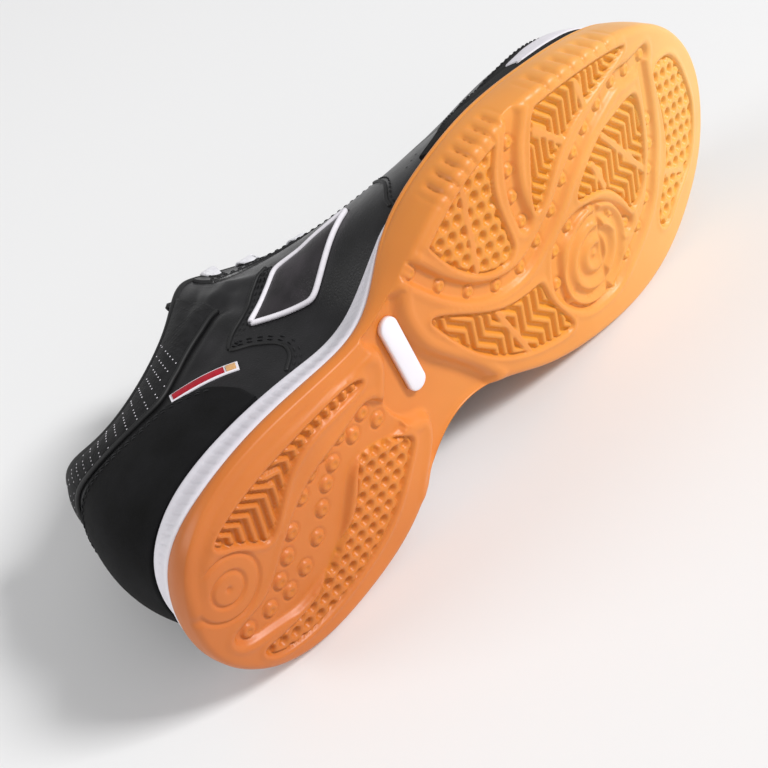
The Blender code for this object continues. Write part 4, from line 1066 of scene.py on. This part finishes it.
def build_midsole(material):
    """White foam between cup and upper, with fine upright hatching round the heel."""
    steps = 1400 if FINE else 500
    places = np.arange(steps) / steps
    ring, normals, wall, lean = sole_rings(places)
    inner = ring - normals * (lean + CUP_WALL + GAP)[:, None]
    hem, hem_normals = hem_ring(places)
    bed = foot_bed(hem[:, 0])
    lip = wall + 0.35
    shown = smooth_step((bed - lip - 1.0) / 3.0)[:, None]
    outer = inner + (ring - normals * lean[:, None] - inner) * shown
    low = np.minimum(lip, bed - 1.0)
    top = inner + (hem + hem_normals * 0.9 - inner) * shown
    spoke = places * SPOKES
    hatched = smooth_step((spoke - 0.6) / 0.6) * smooth_step((5.4 - spoke) / 0.8)
    lengths = np.cumsum(np.linalg.norm(np.roll(ring, -1, axis=0) - ring, axis=1))
    wave = np.exp(-(((lengths / 3.4) % 1.0 - 0.5) / 0.10) ** 2)
    rows = [np.column_stack([inner, cup_floor(inner[:, 0]) + GAP]), np.column_stack([inner, low])]
    for share in (0.0, 0.04, 0.12, 0.25, 0.4, 0.55, 0.7, 0.82, 0.91, 0.97, 1.0):
        edge_round = 0.7 * (max(0.0, 1.0 - share / 0.12) ** 2 + max(0.0, (share - 0.91) / 0.09) ** 2)
        dish = 0.6 * math.sin(math.pi * share)
        line = 0.28 * hatched * wave * (0.12 < share < 0.75)
        at = outer + (top - outer) * smooth_step(share * 0.9 + 0.05)
        at = at - normals * ((edge_round + dish + line) * shown[:, 0])[:, None]
        rows.append(np.column_stack([at, low + (bed - low) * share]))
    points = np.vstack(rows)
    faces = grid_faces(len(rows), steps, wrap=True)
    last = (len(rows) - 1) * steps
    plan, triangles = fill_plan(rows[-1][:, :2], 9.0)
    first = len(points)
    inner_plan = plan[steps:]
    points = np.vstack([points, np.column_stack([inner_plan, foot_bed(inner_plan[:, 0])])])
    faces.extend(plan_faces(triangles, steps, last, first))
    foam = make_piece("midsole_foam", points, faces, [material])
    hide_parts("midsole")


def upper_point(places, rises):
    """Outer face of the upper: RISES goes from 0 at the hem to 1 at the collar and throat edge."""
    places = np.asarray(places, float)
    rises = np.asarray(rises, float)[:, None]
    rows = round_table(UPPER_RING, places)
    swell = round_table(UPPER_SWELL, places)
    hem, out = hem_ring(places)
    foot = np.column_stack([hem, foot_bed(hem[:, 0]) + HEM_GAP])
    edge = np.stack([rows[:, 2] * LENGTH, rows[:, 3] * BALL_WIDTH, rows[:, 4] * INSTEP_HEIGHT], axis=1)
    side = np.sign(edge[:, 1] - BALL_WIDTH * 0.01)
    first = foot + np.column_stack([out * swell[:, :1], swell[:, 1]])
    last = edge + np.column_stack([swell[:, 2], side * swell[:, 3], -swell[:, 4]])
    return (
        (1.0 - rises) ** 3 * foot
        + 3.0 * (1.0 - rises) ** 2 * rises * first
        + 3.0 * (1.0 - rises) * rises**2 * last
        + rises**3 * edge
    )


def upper_normals(places, rises, step=0.002):
    """Outward unit normals of the upper's outer face."""
    around = upper_point(places + step, rises) - upper_point(places - step, rises)
    climb = upper_point(places, rises + step) - upper_point(places, rises - step)
    normals = np.cross(around, climb)
    return normals / np.linalg.norm(normals, axis=1)[:, None]


def crease_lift(spokes, rises):
    """Soft troughs and ridges where the leather folds, in millimetres."""
    spokes = np.asarray(spokes, float) % SPOKES
    lift = np.zeros(len(spokes))
    size = np.array([25.0, 80.0])
    at = np.column_stack([spokes, rises]) * size
    for start, end, width, depth in CREASES:
        line = np.array([start, end]) * size
        side = line[1] - line[0]
        share = np.clip(((at - line[0]) @ side) / (side @ side), 0.0, 1.0)
        gap = np.linalg.norm(at - line[0] - share[:, None] * side, axis=1)
        taper = 0.3 + 0.7 * np.sin(math.pi * np.clip(share, 0.05, 0.95))
        lift -= depth * taper * np.exp(-((gap / width) ** 2))
    return lift


def skin(spokes, rises, lift=0.0):
    """Points LIFT above the creased outer face of the upper."""
    spokes = np.asarray(spokes, float)
    rises = np.broadcast_to(np.asarray(rises, float), spokes.shape)
    places = spokes / SPOKES
    normals = upper_normals(places, rises)
    high = (crease_lift(spokes, rises) + lift)[:, None]
    return upper_point(places, rises) + high * normals


def build_upper(material, lining):
    """Hollow leather upper with a rolled edge and a padded lining at the collar."""
    steps = 624 if FINE else 312
    climb = 84 if FINE else 40
    spokes = np.arange(steps) / steps * SPOKES
    places = spokes / SPOKES
    rows = [skin(spokes, 0.0) - np.array([0.0, 0.0, 0.6])]
    rows.extend(skin(spokes, np.full(steps, row / climb)) for row in range(climb + 1))
    outer_rows = len(rows)
    normals = upper_normals(places, np.ones(steps))
    edge = upper_point(places, np.ones(steps))
    below = upper_point(places, np.full(steps, 0.98))
    up = edge - below
    up /= np.linalg.norm(up, axis=1)[:, None]
    for angle in np.radians([45.0, 90.0, 135.0, 180.0]):
        out = WALL / 2.0 * (math.cos(angle) - 1.0)
        over = WALL / 2.0 * math.sin(angle)
        rows.append(edge + out * normals + over * up)
    inner_rises = np.linspace(0.98, 0.02, 22)
    ankle = smooth_step((5.6 - np.minimum(spokes, SPOKES - spokes)) / 1.6)
    for rise in inner_rises:
        pad = 3.0 * ankle * smooth_step((rise - 0.45) / 0.25) * smooth_step((1.02 - rise) / 0.12)
        lift = -WALL - pad
        here = np.full(steps, rise)
        rows.append(upper_point(places, here) + (lift + crease_lift(spokes, here))[:, None]
                    * upper_normals(places, here))
    points = np.vstack(rows)
    faces = grid_faces(len(rows), steps, wrap=True)
    slots = np.zeros(len(faces), int)
    slots[(outer_rows + 2) * steps:] = 1
    shell = make_piece("upper_leather", points, faces, [material, lining], slots=slots)
    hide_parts("upper")


def curve_rises(table, spokes):
    """Read a table of spoke and rise along a smooth curve."""
    fine = smooth_rows(table, 8)
    return np.interp(spokes, fine[:, 0], fine[:, 1])


def patch(name, spokes, foot, top, lift, material, rows=30, puff=0.0, tuck=0.25):
    """An overlay on the upper between the curves FOOT and TOP, its edges rounded down to the skin."""
    count = len(spokes)
    shares = np.concatenate([[0.0, 0.0], np.linspace(0.0, 1.0, rows), [1.0, 1.0]])
    lifts = np.full(len(shares), lift)
    lifts[0] = lifts[-1] = -tuck
    lifts[1] = lifts[-2] = lift * 0.6
    nudge = np.zeros(len(shares))
    nudge[2] = 0.006
    nudge[-3] = -0.006
    ends = np.concatenate([[spokes[0]], spokes, [spokes[-1]]])
    foot = np.concatenate([[foot[0]], foot, [foot[-1]]])
    top = np.concatenate([[top[0]], top, [top[-1]]])
    made = []
    for share, height, shift in zip(shares, lifts, nudge):
        rises = foot + (top - foot) * share + shift
        high = np.full(count + 2, height + puff * math.sin(math.pi * share) ** 0.7)
        high[0] = high[-1] = -tuck
        made.append(skin(ends, rises, high))
    faces = grid_faces(len(shares), count + 2)
    return make_piece(name, np.vstack(made), faces, [material])


def spoke_line(start, end, step=0.045):
    return np.linspace(start, end, max(4, round((end - start) / step)))


def on_skin(table, lift, step):
    """Even points along a table of (spoke, rise) with the skin's normals there."""
    fine = smooth_rows(table, 10)
    points = skin(fine[:, 0], fine[:, 1], lift)
    lengths = run_lengths(points)
    at = np.arange(step / 2.0, lengths[-1], step)
    spokes = np.interp(at, lengths, fine[:, 0])
    rises = np.interp(at, lengths, fine[:, 1])
    return skin(spokes, rises, lift), upper_normals(spokes / SPOKES, rises)


def stitches(name, table, lift, material, shift=0.0, pitch=2.9, length=2.1, width=0.55):
    """A row of thread stitches along a table of (spoke, rise)."""
    points, normals = on_skin(table, lift, pitch)
    along = np.gradient(points, axis=0)
    along /= np.linalg.norm(along, axis=1)[:, None]
    across = np.cross(normals, along)
    made = []
    faces = []
    stations = [
        (-0.5, 0.35, -0.2), (-0.3, 0.9, 0.10), (0.0, 1.0, 0.22), (0.3, 0.9, 0.10), (0.5, 0.35, -0.2),
    ]
    sides = 6
    angles = round_angles(sides)
    for point, ahead, normal, side in zip(points, along, normals, across):
        first = len(made) * sides
        middle = point + side * shift
        for share, size, height in stations:
            centre = middle + ahead * length * share + normal * height
            ring = side * np.cos(angles)[:, None] * size + normal * np.sin(angles)[:, None] * size * 0.8
            made.append(centre + ring * width / 2.0)
        faces.extend(grid_faces(len(stations), sides, wrap=True, first=first))
    return make_piece(name, np.vstack(made), faces, [material])


def twin_stitches(name, table, drops, thread):
    """Two rows of stitches below the top edge of an overlay."""
    for row, drop in ((name, drops[0]), (f"{name}_low", drops[1])):
        stitches(row, [(s, r - drop) for s, r in table[1:-1]], STITCH_LIFT, thread)


def dots(name, places, lift, radius, material, sides=7):
    """Small flat discs on the skin at (spoke, rise) PLACES."""
    spokes = np.array([place[0] for place in places])
    rises = np.array([place[1] for place in places])
    centres = skin(spokes, rises, lift)
    normals = upper_normals(spokes / SPOKES, rises)
    side = np.cross(normals, np.array([0.0, 0.0, 1.0]))
    side /= np.linalg.norm(side, axis=1)[:, None]
    top = np.cross(side, normals)
    angles = round_angles(sides)
    made = []
    faces = []
    for centre, normal, a, b in zip(centres, normals, side, top):
        first = len(made) * (sides + 1)
        ring = centre + radius * (np.cos(angles)[:, None] * a + np.sin(angles)[:, None] * b)
        made.append(np.vstack([ring, centre + normal * radius * 0.25]))
        faces.extend((first + k, first + (k + 1) % sides, first + sides) for k in range(sides))
    return make_piece(name, np.vstack(made), faces, [material])


def build_counter(material, thread):
    """Suede heel counter with its stitched top edge."""
    spokes = spoke_line(COUNTER_TOP[0][0], COUNTER_TOP[-1][0])
    foot = np.full(len(spokes), 0.0)
    top = curve_rises(COUNTER_TOP, spokes)
    piece = patch("heel_counter_suede", spokes, foot, top, OVERLAY_LIFT, material, rows=44)
    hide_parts("heel_counter")
    twin_stitches("counter_stitches", COUNTER_TOP, (0.030, 0.055), thread)


def build_collar_band(material, dot_material, piping):
    """Padded textile band round the ankle with short slanted rows of pin-sized dots."""
    spokes = spoke_line(BAND_FOOT[0][0], BAND_FOOT[-1][0])
    foot = curve_rises(BAND_FOOT, spokes)
    top = np.full(len(spokes), EDGE_TOP)
    patch("collar_band", spokes, foot, top, BAND_LIFT, material, rows=28, puff=BAND_PUFF)
    places = []
    for number, start in enumerate(np.arange(-BAND_DOTS_END, BAND_DOTS_END, 0.19)):
        low_rise = float(curve_rises(BAND_FOOT, np.array([start]))[0]) + 0.03
        for step in range(9):
            rise = low_rise + step * 0.034
            if rise < 0.945 and (step + number) % 6 != 0:
                places.append((start + step * 0.035, rise))
    lifts = []
    for spoke, rise in places:
        foot_here = float(curve_rises(BAND_FOOT, np.array([spoke]))[0])
        share = np.clip((rise - foot_here) / (EDGE_TOP - foot_here), 0.0, 1.0)
        lifts.append(BAND_LIFT + BAND_PUFF * math.sin(math.pi * share) ** 0.7 + 0.06)
    dots("collar_dots", places, np.array(lifts), 0.27, dot_material)
    seam = smooth_rows(BAND_FOOT, 8)
    tube("band_piping", skin(seam[:, 0], seam[:, 1], BAND_LIFT), 0.85, piping)


def build_edge_piping(material, lining):
    """Rolled piping along the collar and throat, and the pale roll of lining at the heel."""
    spokes = np.linspace(0.0, SPOKES, 400, endpoint=False)
    path = skin(spokes, 1.0, -0.7)
    tube("edge_piping", path, 1.45, material, sides=10, closed=True)
    spokes = np.linspace(-1.3, 2.1, 60)
    roll = skin(spokes, 1.0, -3.0) + np.array([0.0, 0.0, 1.0])
    tube("lining_roll", roll, 1.7, lining, sides=10)


def build_toe(material, white, thread):
    """Suede toe piece, its stitching and the white stripe above the outer toe."""
    spokes = spoke_line(TOE_CAP_TOP[0][0], TOE_CAP_TOP[-1][0])
    foot = np.full(len(spokes), 0.0)
    top = curve_rises(TOE_CAP_TOP, spokes)
    piece = patch("toe_cap_suede", spokes, foot, top, OVERLAY_LIFT, material, rows=26)
    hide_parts("toe_cap")
    twin_stitches("toe_stitches", TOE_CAP_TOP, (0.022, 0.040), thread)
    rows = np.array(TOE_STRIPE)
    spokes = spoke_line(9.5, 13.2, 0.04)
    foot = np.interp(spokes, rows[:, 0], rows[:, 1])
    top = np.interp(spokes, rows[:, 0], rows[:, 2])
    patch("toe_stripe", spokes, foot, top, 1.5, white, rows=8)


def build_eyestays(material, thread, metal):
    """Stitched eyestays with punched eyelets along the throat."""
    for name, mirror in (("lateral", False), ("medial", True)):
        table = EYESTAY_FOOT
        spokes = spoke_line(table[0][0], table[-1][0], 0.03)
        foot = curve_rises(table, spokes)
        top = np.full(len(spokes), EDGE_TOP)
        edge = [(s, r + 0.022) for s, r in table]
        eyelets = EYELET_SPOKES
        if mirror:
            spokes = (SPOKES - spokes)[::-1]
            foot = foot[::-1]
            edge = [(SPOKES - s, r) for s, r in edge][::-1]
            eyelets = [SPOKES - s for s in eyelets]
        piece = patch(f"eyestay_{name}_leather", spokes, foot, top, OVERLAY_LIFT, material,
                      rows=24)
        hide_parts(f"eyestay_{name}")
        stitches(f"eyestay_{name}_stitches", edge, STITCH_LIFT, thread)
        for number, spoke in enumerate(eyelets):
            build_eyelet(f"eyelet_{name}_{number}", spoke, metal)


def build_eyelet(name, spoke, material):
    """The rolled rim of a punched hole."""
    at = np.array([spoke])
    rise = np.array([EYELET_RISE])
    centre = skin(at, rise, 1.2)[0]
    normal = upper_normals(at / SPOKES, rise)[0]
    side = np.cross(normal, np.array([0.0, 0.0, 1.0]))
    side /= np.linalg.norm(side)
    top = np.cross(side, normal)
    angles = round_angles(20)
    ring = centre + 2.5 * (np.cos(angles)[:, None] * side + np.sin(angles)[:, None] * top)
    tube(name, ring, 0.55, material, sides=6, closed=True)


def build_panel(material, piping):
    """Plain four-sided quarter panel, padded, with white piping round it; its leather is lightened with
    painted sheen.
    """
    corners = np.array(PANEL_CORNERS)
    count = 40
    rows = 26
    made = []
    for across in np.concatenate([[0.0], np.linspace(0.0, 1.0, rows), [1.0]]):
        start = corners[0] + (corners[3] - corners[0]) * across
        end = corners[1] + (corners[2] - corners[1]) * across
        shares = np.concatenate([[0.0], np.linspace(0.0, 1.0, count), [1.0]])
        line = start + (end - start) * shares[:, None]
        crown = np.sin(math.pi * np.clip(shares, 0.001, 0.999)) ** 0.35
        crown = crown * math.sin(math.pi * min(max(across, 0.001), 0.999)) ** 0.35
        made.append(skin(line[:, 0], line[:, 1], 0.2 + 1.5 * crown))
    for i in (0, len(made) - 1):
        made[i] = made[i] - 0.8 * upper_normals(line[:, 0] / SPOKES, line[:, 1])
    faces = grid_faces(rows + 2, count + 2)
    piece = make_piece("side_panel_leather", np.vstack(made), faces, [material])
    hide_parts("side_panel")
    loop = []
    for a, b in zip(corners, np.roll(corners, -1, axis=0)):
        for share in np.arange(24) / 24.0:
            loop.append(a + (b - a) * share)
    loop = np.array(loop)
    for _ in range(4):
        loop = (np.roll(loop, 1, axis=0) + 2.0 * loop + np.roll(loop, -1, axis=0)) / 4.0
    tube("panel_piping", skin(loop[:, 0], loop[:, 1], 0.75), 0.95, piping, closed=True)


def build_saddle_seam(thread, piping):
    """Double row of stitches and a raised edge where the saddle meets the quarter."""
    mirrored = [(SPOKES - s, r) for s, r in SADDLE_SEAM[2:]]
    seams = [
        ("saddle", SADDLE_SEAM, [1.8, 3.4]),
        ("inner_saddle", mirrored, [-1.8]),
        ("vamp", VAMP_SEAM, [1.8]),
    ]
    for name, table, shifts in seams:
        seam = smooth_rows(table, 10)
        tube(f"{name}_edge", skin(seam[:, 0], seam[:, 1], 0.05), 0.7, piping)
        for ending, shift in zip(("", "_low"), shifts):
            stitches(f"{name}_stitches{ending}", table, 0.1, thread, shift=shift)
    pins = [(8.55, 0.42), (8.35, 0.40), (8.15, 0.37), (7.5, 0.21), (7.33, 0.19), (7.16, 0.17)]
    dots("vamp_pinholes", pins, 0.04, 0.45, piping)


def build_tag(border, red, gold):
    """Small woven label: pale border, red field and a gold end."""
    ends = np.array(TAG_ENDS)
    spine_places = ends[0] + (ends[1] - ends[0]) * np.linspace(-0.02, 1.02, 24)[:, None]
    normals = upper_normals(spine_places[:, 0] / SPOKES, spine_places[:, 1])
    spine = skin(spine_places[:, 0], spine_places[:, 1])
    along = np.gradient(spine, axis=0)
    along /= np.linalg.norm(along, axis=1)[:, None]
    across = np.cross(normals, along)
    lengths = run_lengths(spine)
    total = lengths[-1]
    pieces = [
        ("tag_border", 0.0, 1.0, 1.9, 0.55, border),
        ("tag_field", 0.04, 0.80, 1.3, 0.85, red),
        ("tag_end", 0.83, 0.965, 1.3, 0.85, gold),
    ]
    section = [(-1.0, -0.3), (-1.0, 0.85), (-0.93, 1.0), (0.93, 1.0), (1.0, 0.85), (1.0, -0.3)]
    for name, start, end, half, lift, material in pieces:
        at = np.linspace(start, end, 16) * total
        middle, up, side = (
            np.column_stack([np.interp(at, lengths, table[:, i]) for i in range(3)])
            for table in (spine, normals, across)
        )
        rows = []
        for offset, height in section:
            rows.append(middle + side * half * offset + up * lift * height)
        make_piece(name, np.vstack(rows), grid_faces(6, 16), [material])
    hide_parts("tag")


def build_tongue(material, piping):
    """Padded tongue with a bound edge."""
    rows = np.array(TONGUE_ROWS)
    knots = np.arange(len(rows))
    fine = smooth_rows(np.column_stack([knots, rows]), 6)[:, 1:]
    spine = np.column_stack([fine[:, 0] * LENGTH, fine[:, 1] * TONGUE_HEIGHT])
    along = np.gradient(spine, axis=0)
    along /= np.linalg.norm(along, axis=1)[:, None]
    up = np.column_stack([along[:, 1], -along[:, 0]])
    flip = np.where(up[:, 1:] < 0.0, -1.0, 1.0)
    steep = np.abs(up[:, 1:]) < 0.3
    up = np.where(steep, np.column_stack([np.abs(up[:, 0]), up[:, 1]]), up * flip)
    shares = np.linspace(-1.0, 1.0, 41)
    angle = np.arccos(shares)
    surfaces = []
    for sign in (1.0, -1.0):
        made = []
        for share, turn in zip(shares, angle):
            drop = fine[:, 3] * share**2
            pad = TONGUE_THICKNESS / 2.0 * math.sin(turn) ** 0.45
            centre = spine - up * (drop + TONGUE_THICKNESS / 2.0)[:, None]
            line = centre + up * sign * pad
            across = TONGUE_MIDDLE * BALL_WIDTH + share * fine[:, 2] * BALL_WIDTH
            made.append(np.column_stack([line[:, 0], across, line[:, 1]]))
        surfaces.append(np.array(made))
    count = len(fine)
    loop = np.concatenate([surfaces[0], surfaces[1][::-1][1:-1]])
    points = loop.reshape(-1, 3)
    faces = []
    rings = len(loop)
    for ring in range(rings):
        for k in range(count - 1):
            a = ring * count + k
            b = (ring + 1) % rings * count + k
            faces.append((a, b, b + 1, a + 1))
    faces.append(tuple(ring * count for ring in range(rings)))
    faces.append(tuple(ring * count + count - 1 for ring in range(rings)))
    tongue = make_piece("tongue_padded", points, faces, [material])
    face_out(tongue)
    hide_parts("tongue")
    top = loop[:, -1]
    tube("tongue_binding", top, 0.9, piping, closed=True)


def build_laces(material):
    """Flat laces through the eyelets: a bar at the lowest pair, then crossings to the top pair."""
    lift_dir = np.array([0.35, 0.0, 0.94])
    ends = []
    for places in (np.array(EYELET_SPOKES), SPOKES - np.array(EYELET_SPOKES)):
        rows = []
        for rise, lift in ((EYELET_RISE - 0.01, 0.4), (EYELET_RISE + 0.01, 1.9), (0.95, 2.6), (0.99, 2.8)):
            rises = np.full(len(places), rise)
            rows.append(skin(places, rises, lift))
        ends.append(np.array(rows))
    outer, inner = ends
    runs = [(outer[:, 0], inner[:, 0], 0.0)]
    for i in range(len(EYELET_SPOKES) - 1):
        runs.append((outer[:, i], inner[:, i + 1], 0.3))
        runs.append((inner[:, i], outer[:, i + 1], 1.7))
    made = []
    faces = []
    sides = 12
    angles = round_angles(sides)
    shape = np.column_stack([
        np.sign(np.cos(angles)) * np.abs(np.cos(angles)) ** 0.5,
        np.sign(np.sin(angles)) * np.abs(np.sin(angles)) ** 0.8,
    ])
    for start, end, over in runs:
        shares = np.array([[0.25], [0.5], [0.75]])
        arch = start[-1] + (end[-1] - start[-1]) * shares
        arch = arch + lift_dir * (2.2 + over) * np.sin(math.pi * shares)
        path = even_line(np.vstack([start, arch, end[::-1]]), 1.3)
        for _ in range(3):
            path[1:-1] = (path[:-2] + 2.0 * path[1:-1] + path[2:]) / 4.0
        first = len(made) * sides
        for k, row in enumerate(path):
            ahead = path[min(k + 1, len(path) - 1)] - path[max(k - 1, 0)]
            ahead /= np.linalg.norm(ahead)
            across = THROAT_DOWN - ahead * (ahead @ THROAT_DOWN)
            across /= np.linalg.norm(across)
            flat = np.cross(ahead, across)
            edge = min(k, len(path) - 1 - k)
            pinch = 1.0 - 0.4 * float(smooth_step(np.array(1.0 - edge / 6.0)))
            ring = across * (shape[:, :1] * LACE_WIDTH / 2.0 * pinch)
            ring = ring + flat * shape[:, 1:] * LACE_THICKNESS / 2.0
            made.append(row + ring)
        faces.extend(grid_faces(len(path), sides, wrap=True, first=first))
    laces = make_piece("laces_woven", np.vstack(made), faces, [material])
    face_out(laces)
    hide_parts("laces")


def build_insole(material):
    """Dished foot bed inside the upper."""
    steps = 260
    places = np.arange(steps) / steps
    hem, normals = hem_ring(places)
    ring = hem - normals * (WALL + INSOLE_CLEARANCE)
    plan, triangles = fill_plan(ring, 4.0)
    tree = ring_tree(ring)
    margin = np.array([tree.find((x, y, 0.0))[2] for x, y in plan])
    dish = 1.6 * (1.0 - smooth_step(margin / 22.0))
    top = foot_bed(plan[:, 0]) + GAP + INSOLE_THICKNESS - 0.8 + dish
    rim = np.column_stack([ring, foot_bed(ring[:, 0]) + GAP])
    points = np.vstack([np.column_stack([plan, top]), rim])
    faces = list(triangles)
    base = len(plan)
    faces.extend((i, (i + 1) % steps, base + (i + 1) % steps, base + i) for i in range(steps))
    piece = make_piece("insole_bed", points, faces, [material])
    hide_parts("insole")


def build_insert(material):
    """Plain capsule in the waist recess, its edge bevelled."""
    roof = WAIST_DEPTH - GAP
    rows = []
    for shrink, depth in ((0.0, 0.0), (0.0, INSERT_THICKNESS - 0.5), (0.3, INSERT_THICKNESS - 0.15),
                          (1.0, INSERT_THICKNESS), (2.6, INSERT_THICKNESS + 0.15)):
        loop = insert_loop(INSERT_WIDTH - shrink)
        rows.append(np.column_stack([loop, np.full(len(loop), roof - depth)]))
    count = len(rows[0])
    faces = grid_faces(len(rows), count, wrap=True)
    faces.append(tuple(range(count)))
    faces.append(tuple((len(rows) - 1) * count + k for k in range(count)))
    piece = make_piece("shank_capsule", np.vstack(rows), faces, [material])
    face_out(piece)
    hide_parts("shank_insert")


def build_camera():
    """The photograph's view of the shoe."""
    camera = bpy.data.cameras.new("camera")
    camera.sensor_width = SENSOR
    camera.lens = FOCAL_PIXELS / PICTURE * SENSOR
    camera.clip_start = 0.01
    thing = bpy.data.objects.new("camera", camera)
    bpy.context.scene.collection.objects.link(thing)
    axes = np.array([VIEW_RIGHT, tuple(-v for v in VIEW_DOWN), tuple(-v for v in VIEW_AHEAD)])
    turned = axes @ TURN.T
    matrix = Matrix.Identity(4)
    for column in range(3):
        for row in range(3):
            matrix[row][column] = turned[column][row]
    eye = lay(np.array([EYE]))[0]
    matrix.translation = Vector(eye)
    thing.matrix_world = matrix
    bpy.context.scene.camera = thing


def build_stage():
    """Pale floor and soft studio light."""
    bpy.ops.mesh.primitive_plane_add(size=12.0, location=(0.0, 0.0, -0.0002))
    floor = bpy.context.object
    floor.name = "floor"
    look = Look("pale_floor", (0.83, 0.83, 0.83), 0.9)
    look.inputs["Specular IOR Level"].default_value = 0.1
    floor.data.materials.append(look.material)
    lights = [
        ("key", (0.52, -0.62, -0.59), 4.2, 0.95, 138.0),
        ("rim", (-0.72, -0.58, 0.38), 2.2, 0.9, 11.0),
        ("fill", (-0.35, -0.55, -0.75), 2.4, 1.8, 6.0),
    ]
    for name, direction, far, size, power in lights:
        light = bpy.data.lights.new(name, "AREA")
        light.size = size
        light.energy = power
        lamp = bpy.data.objects.new(name, light)
        place = Vector(tuple(np.array(direction) @ TURN.T)) * far
        lamp.location = place
        lamp.rotation_euler = (-place).to_track_quat("-Z", "Y").to_euler()
        bpy.context.scene.collection.objects.link(lamp)
    world = bpy.data.worlds.new("studio")
    world.use_nodes = True
    sky = world.node_tree.nodes["Background"].inputs
    sky["Color"].default_value = (0.95, 0.95, 0.96, 1.0)
    sky["Strength"].default_value = 0.42
    bpy.context.scene.world = world
    bpy.context.scene.view_settings.view_transform = "Standard"


build_camera()
build_stage()
gum = gum_rubber()
foam = white_foam("white_foam_fine", True)
plain_foam = white_foam("plain_foam_fine", False)
quarter = leather("smooth_leather", (0.004, 0.004, 0.0045), (0.013, 0.0125, 0.014), 0.36)
# The panel leather is black, lifted to a lighter purple-grey by painted sheen.
panel_sheen_leather = leather("panel_sheen_leather", (0.014, 0.012, 0.014), (0.050, 0.042, 0.049), 0.34)
nap = suede()
lining_cloth = cloth("lining_cloth", (0.050, 0.048, 0.050), (0.085, 0.082, 0.085), 0.9)
band_cloth = cloth("band_cloth", (0.005, 0.005, 0.0055), (0.014, 0.014, 0.015), 0.8, 0.04)
roll_cloth = cloth("roll_cloth", (0.62, 0.52, 0.54), (0.78, 0.68, 0.70), 0.6, 0.1)
lace_cloth = cloth("lace_cloth", (0.70, 0.69, 0.73), (0.86, 0.86, 0.89), 0.7)
insole_cloth = cloth("insole_cloth", (0.10, 0.10, 0.105), (0.16, 0.16, 0.17), 1.0)
thread = cloth("dark_thread", (0.008, 0.008, 0.009), (0.022, 0.022, 0.024), 0.4, 0.04)
dark_trim = enamel("dark_trim", (0.006, 0.006, 0.0065), 0.6)
white_trim = enamel("white_trim", (0.84, 0.81, 0.86), 0.75)
red_weave = cloth("red_weave", (0.30, 0.008, 0.018), (0.44, 0.014, 0.030), 0.5, 0.05)
gold_weave = cloth("gold_weave", (0.55, 0.30, 0.12), (0.72, 0.42, 0.18), 0.5)
build_outsole(gum)
build_midsole(foam)
build_upper(quarter, lining_cloth)
build_counter(nap, thread)
build_collar_band(band_cloth, white_trim, dark_trim)
build_edge_piping(dark_trim, roll_cloth)
build_toe(nap, white_trim, thread)
build_eyestays(quarter, thread, dark_trim)
build_panel(panel_sheen_leather, white_trim)
build_saddle_seam(thread, dark_trim)
build_tag(white_trim, red_weave, gold_weave)
build_tongue(band_cloth, dark_trim)
build_laces(lace_cloth)
build_insole(insole_cloth)
build_insert(plain_foam)
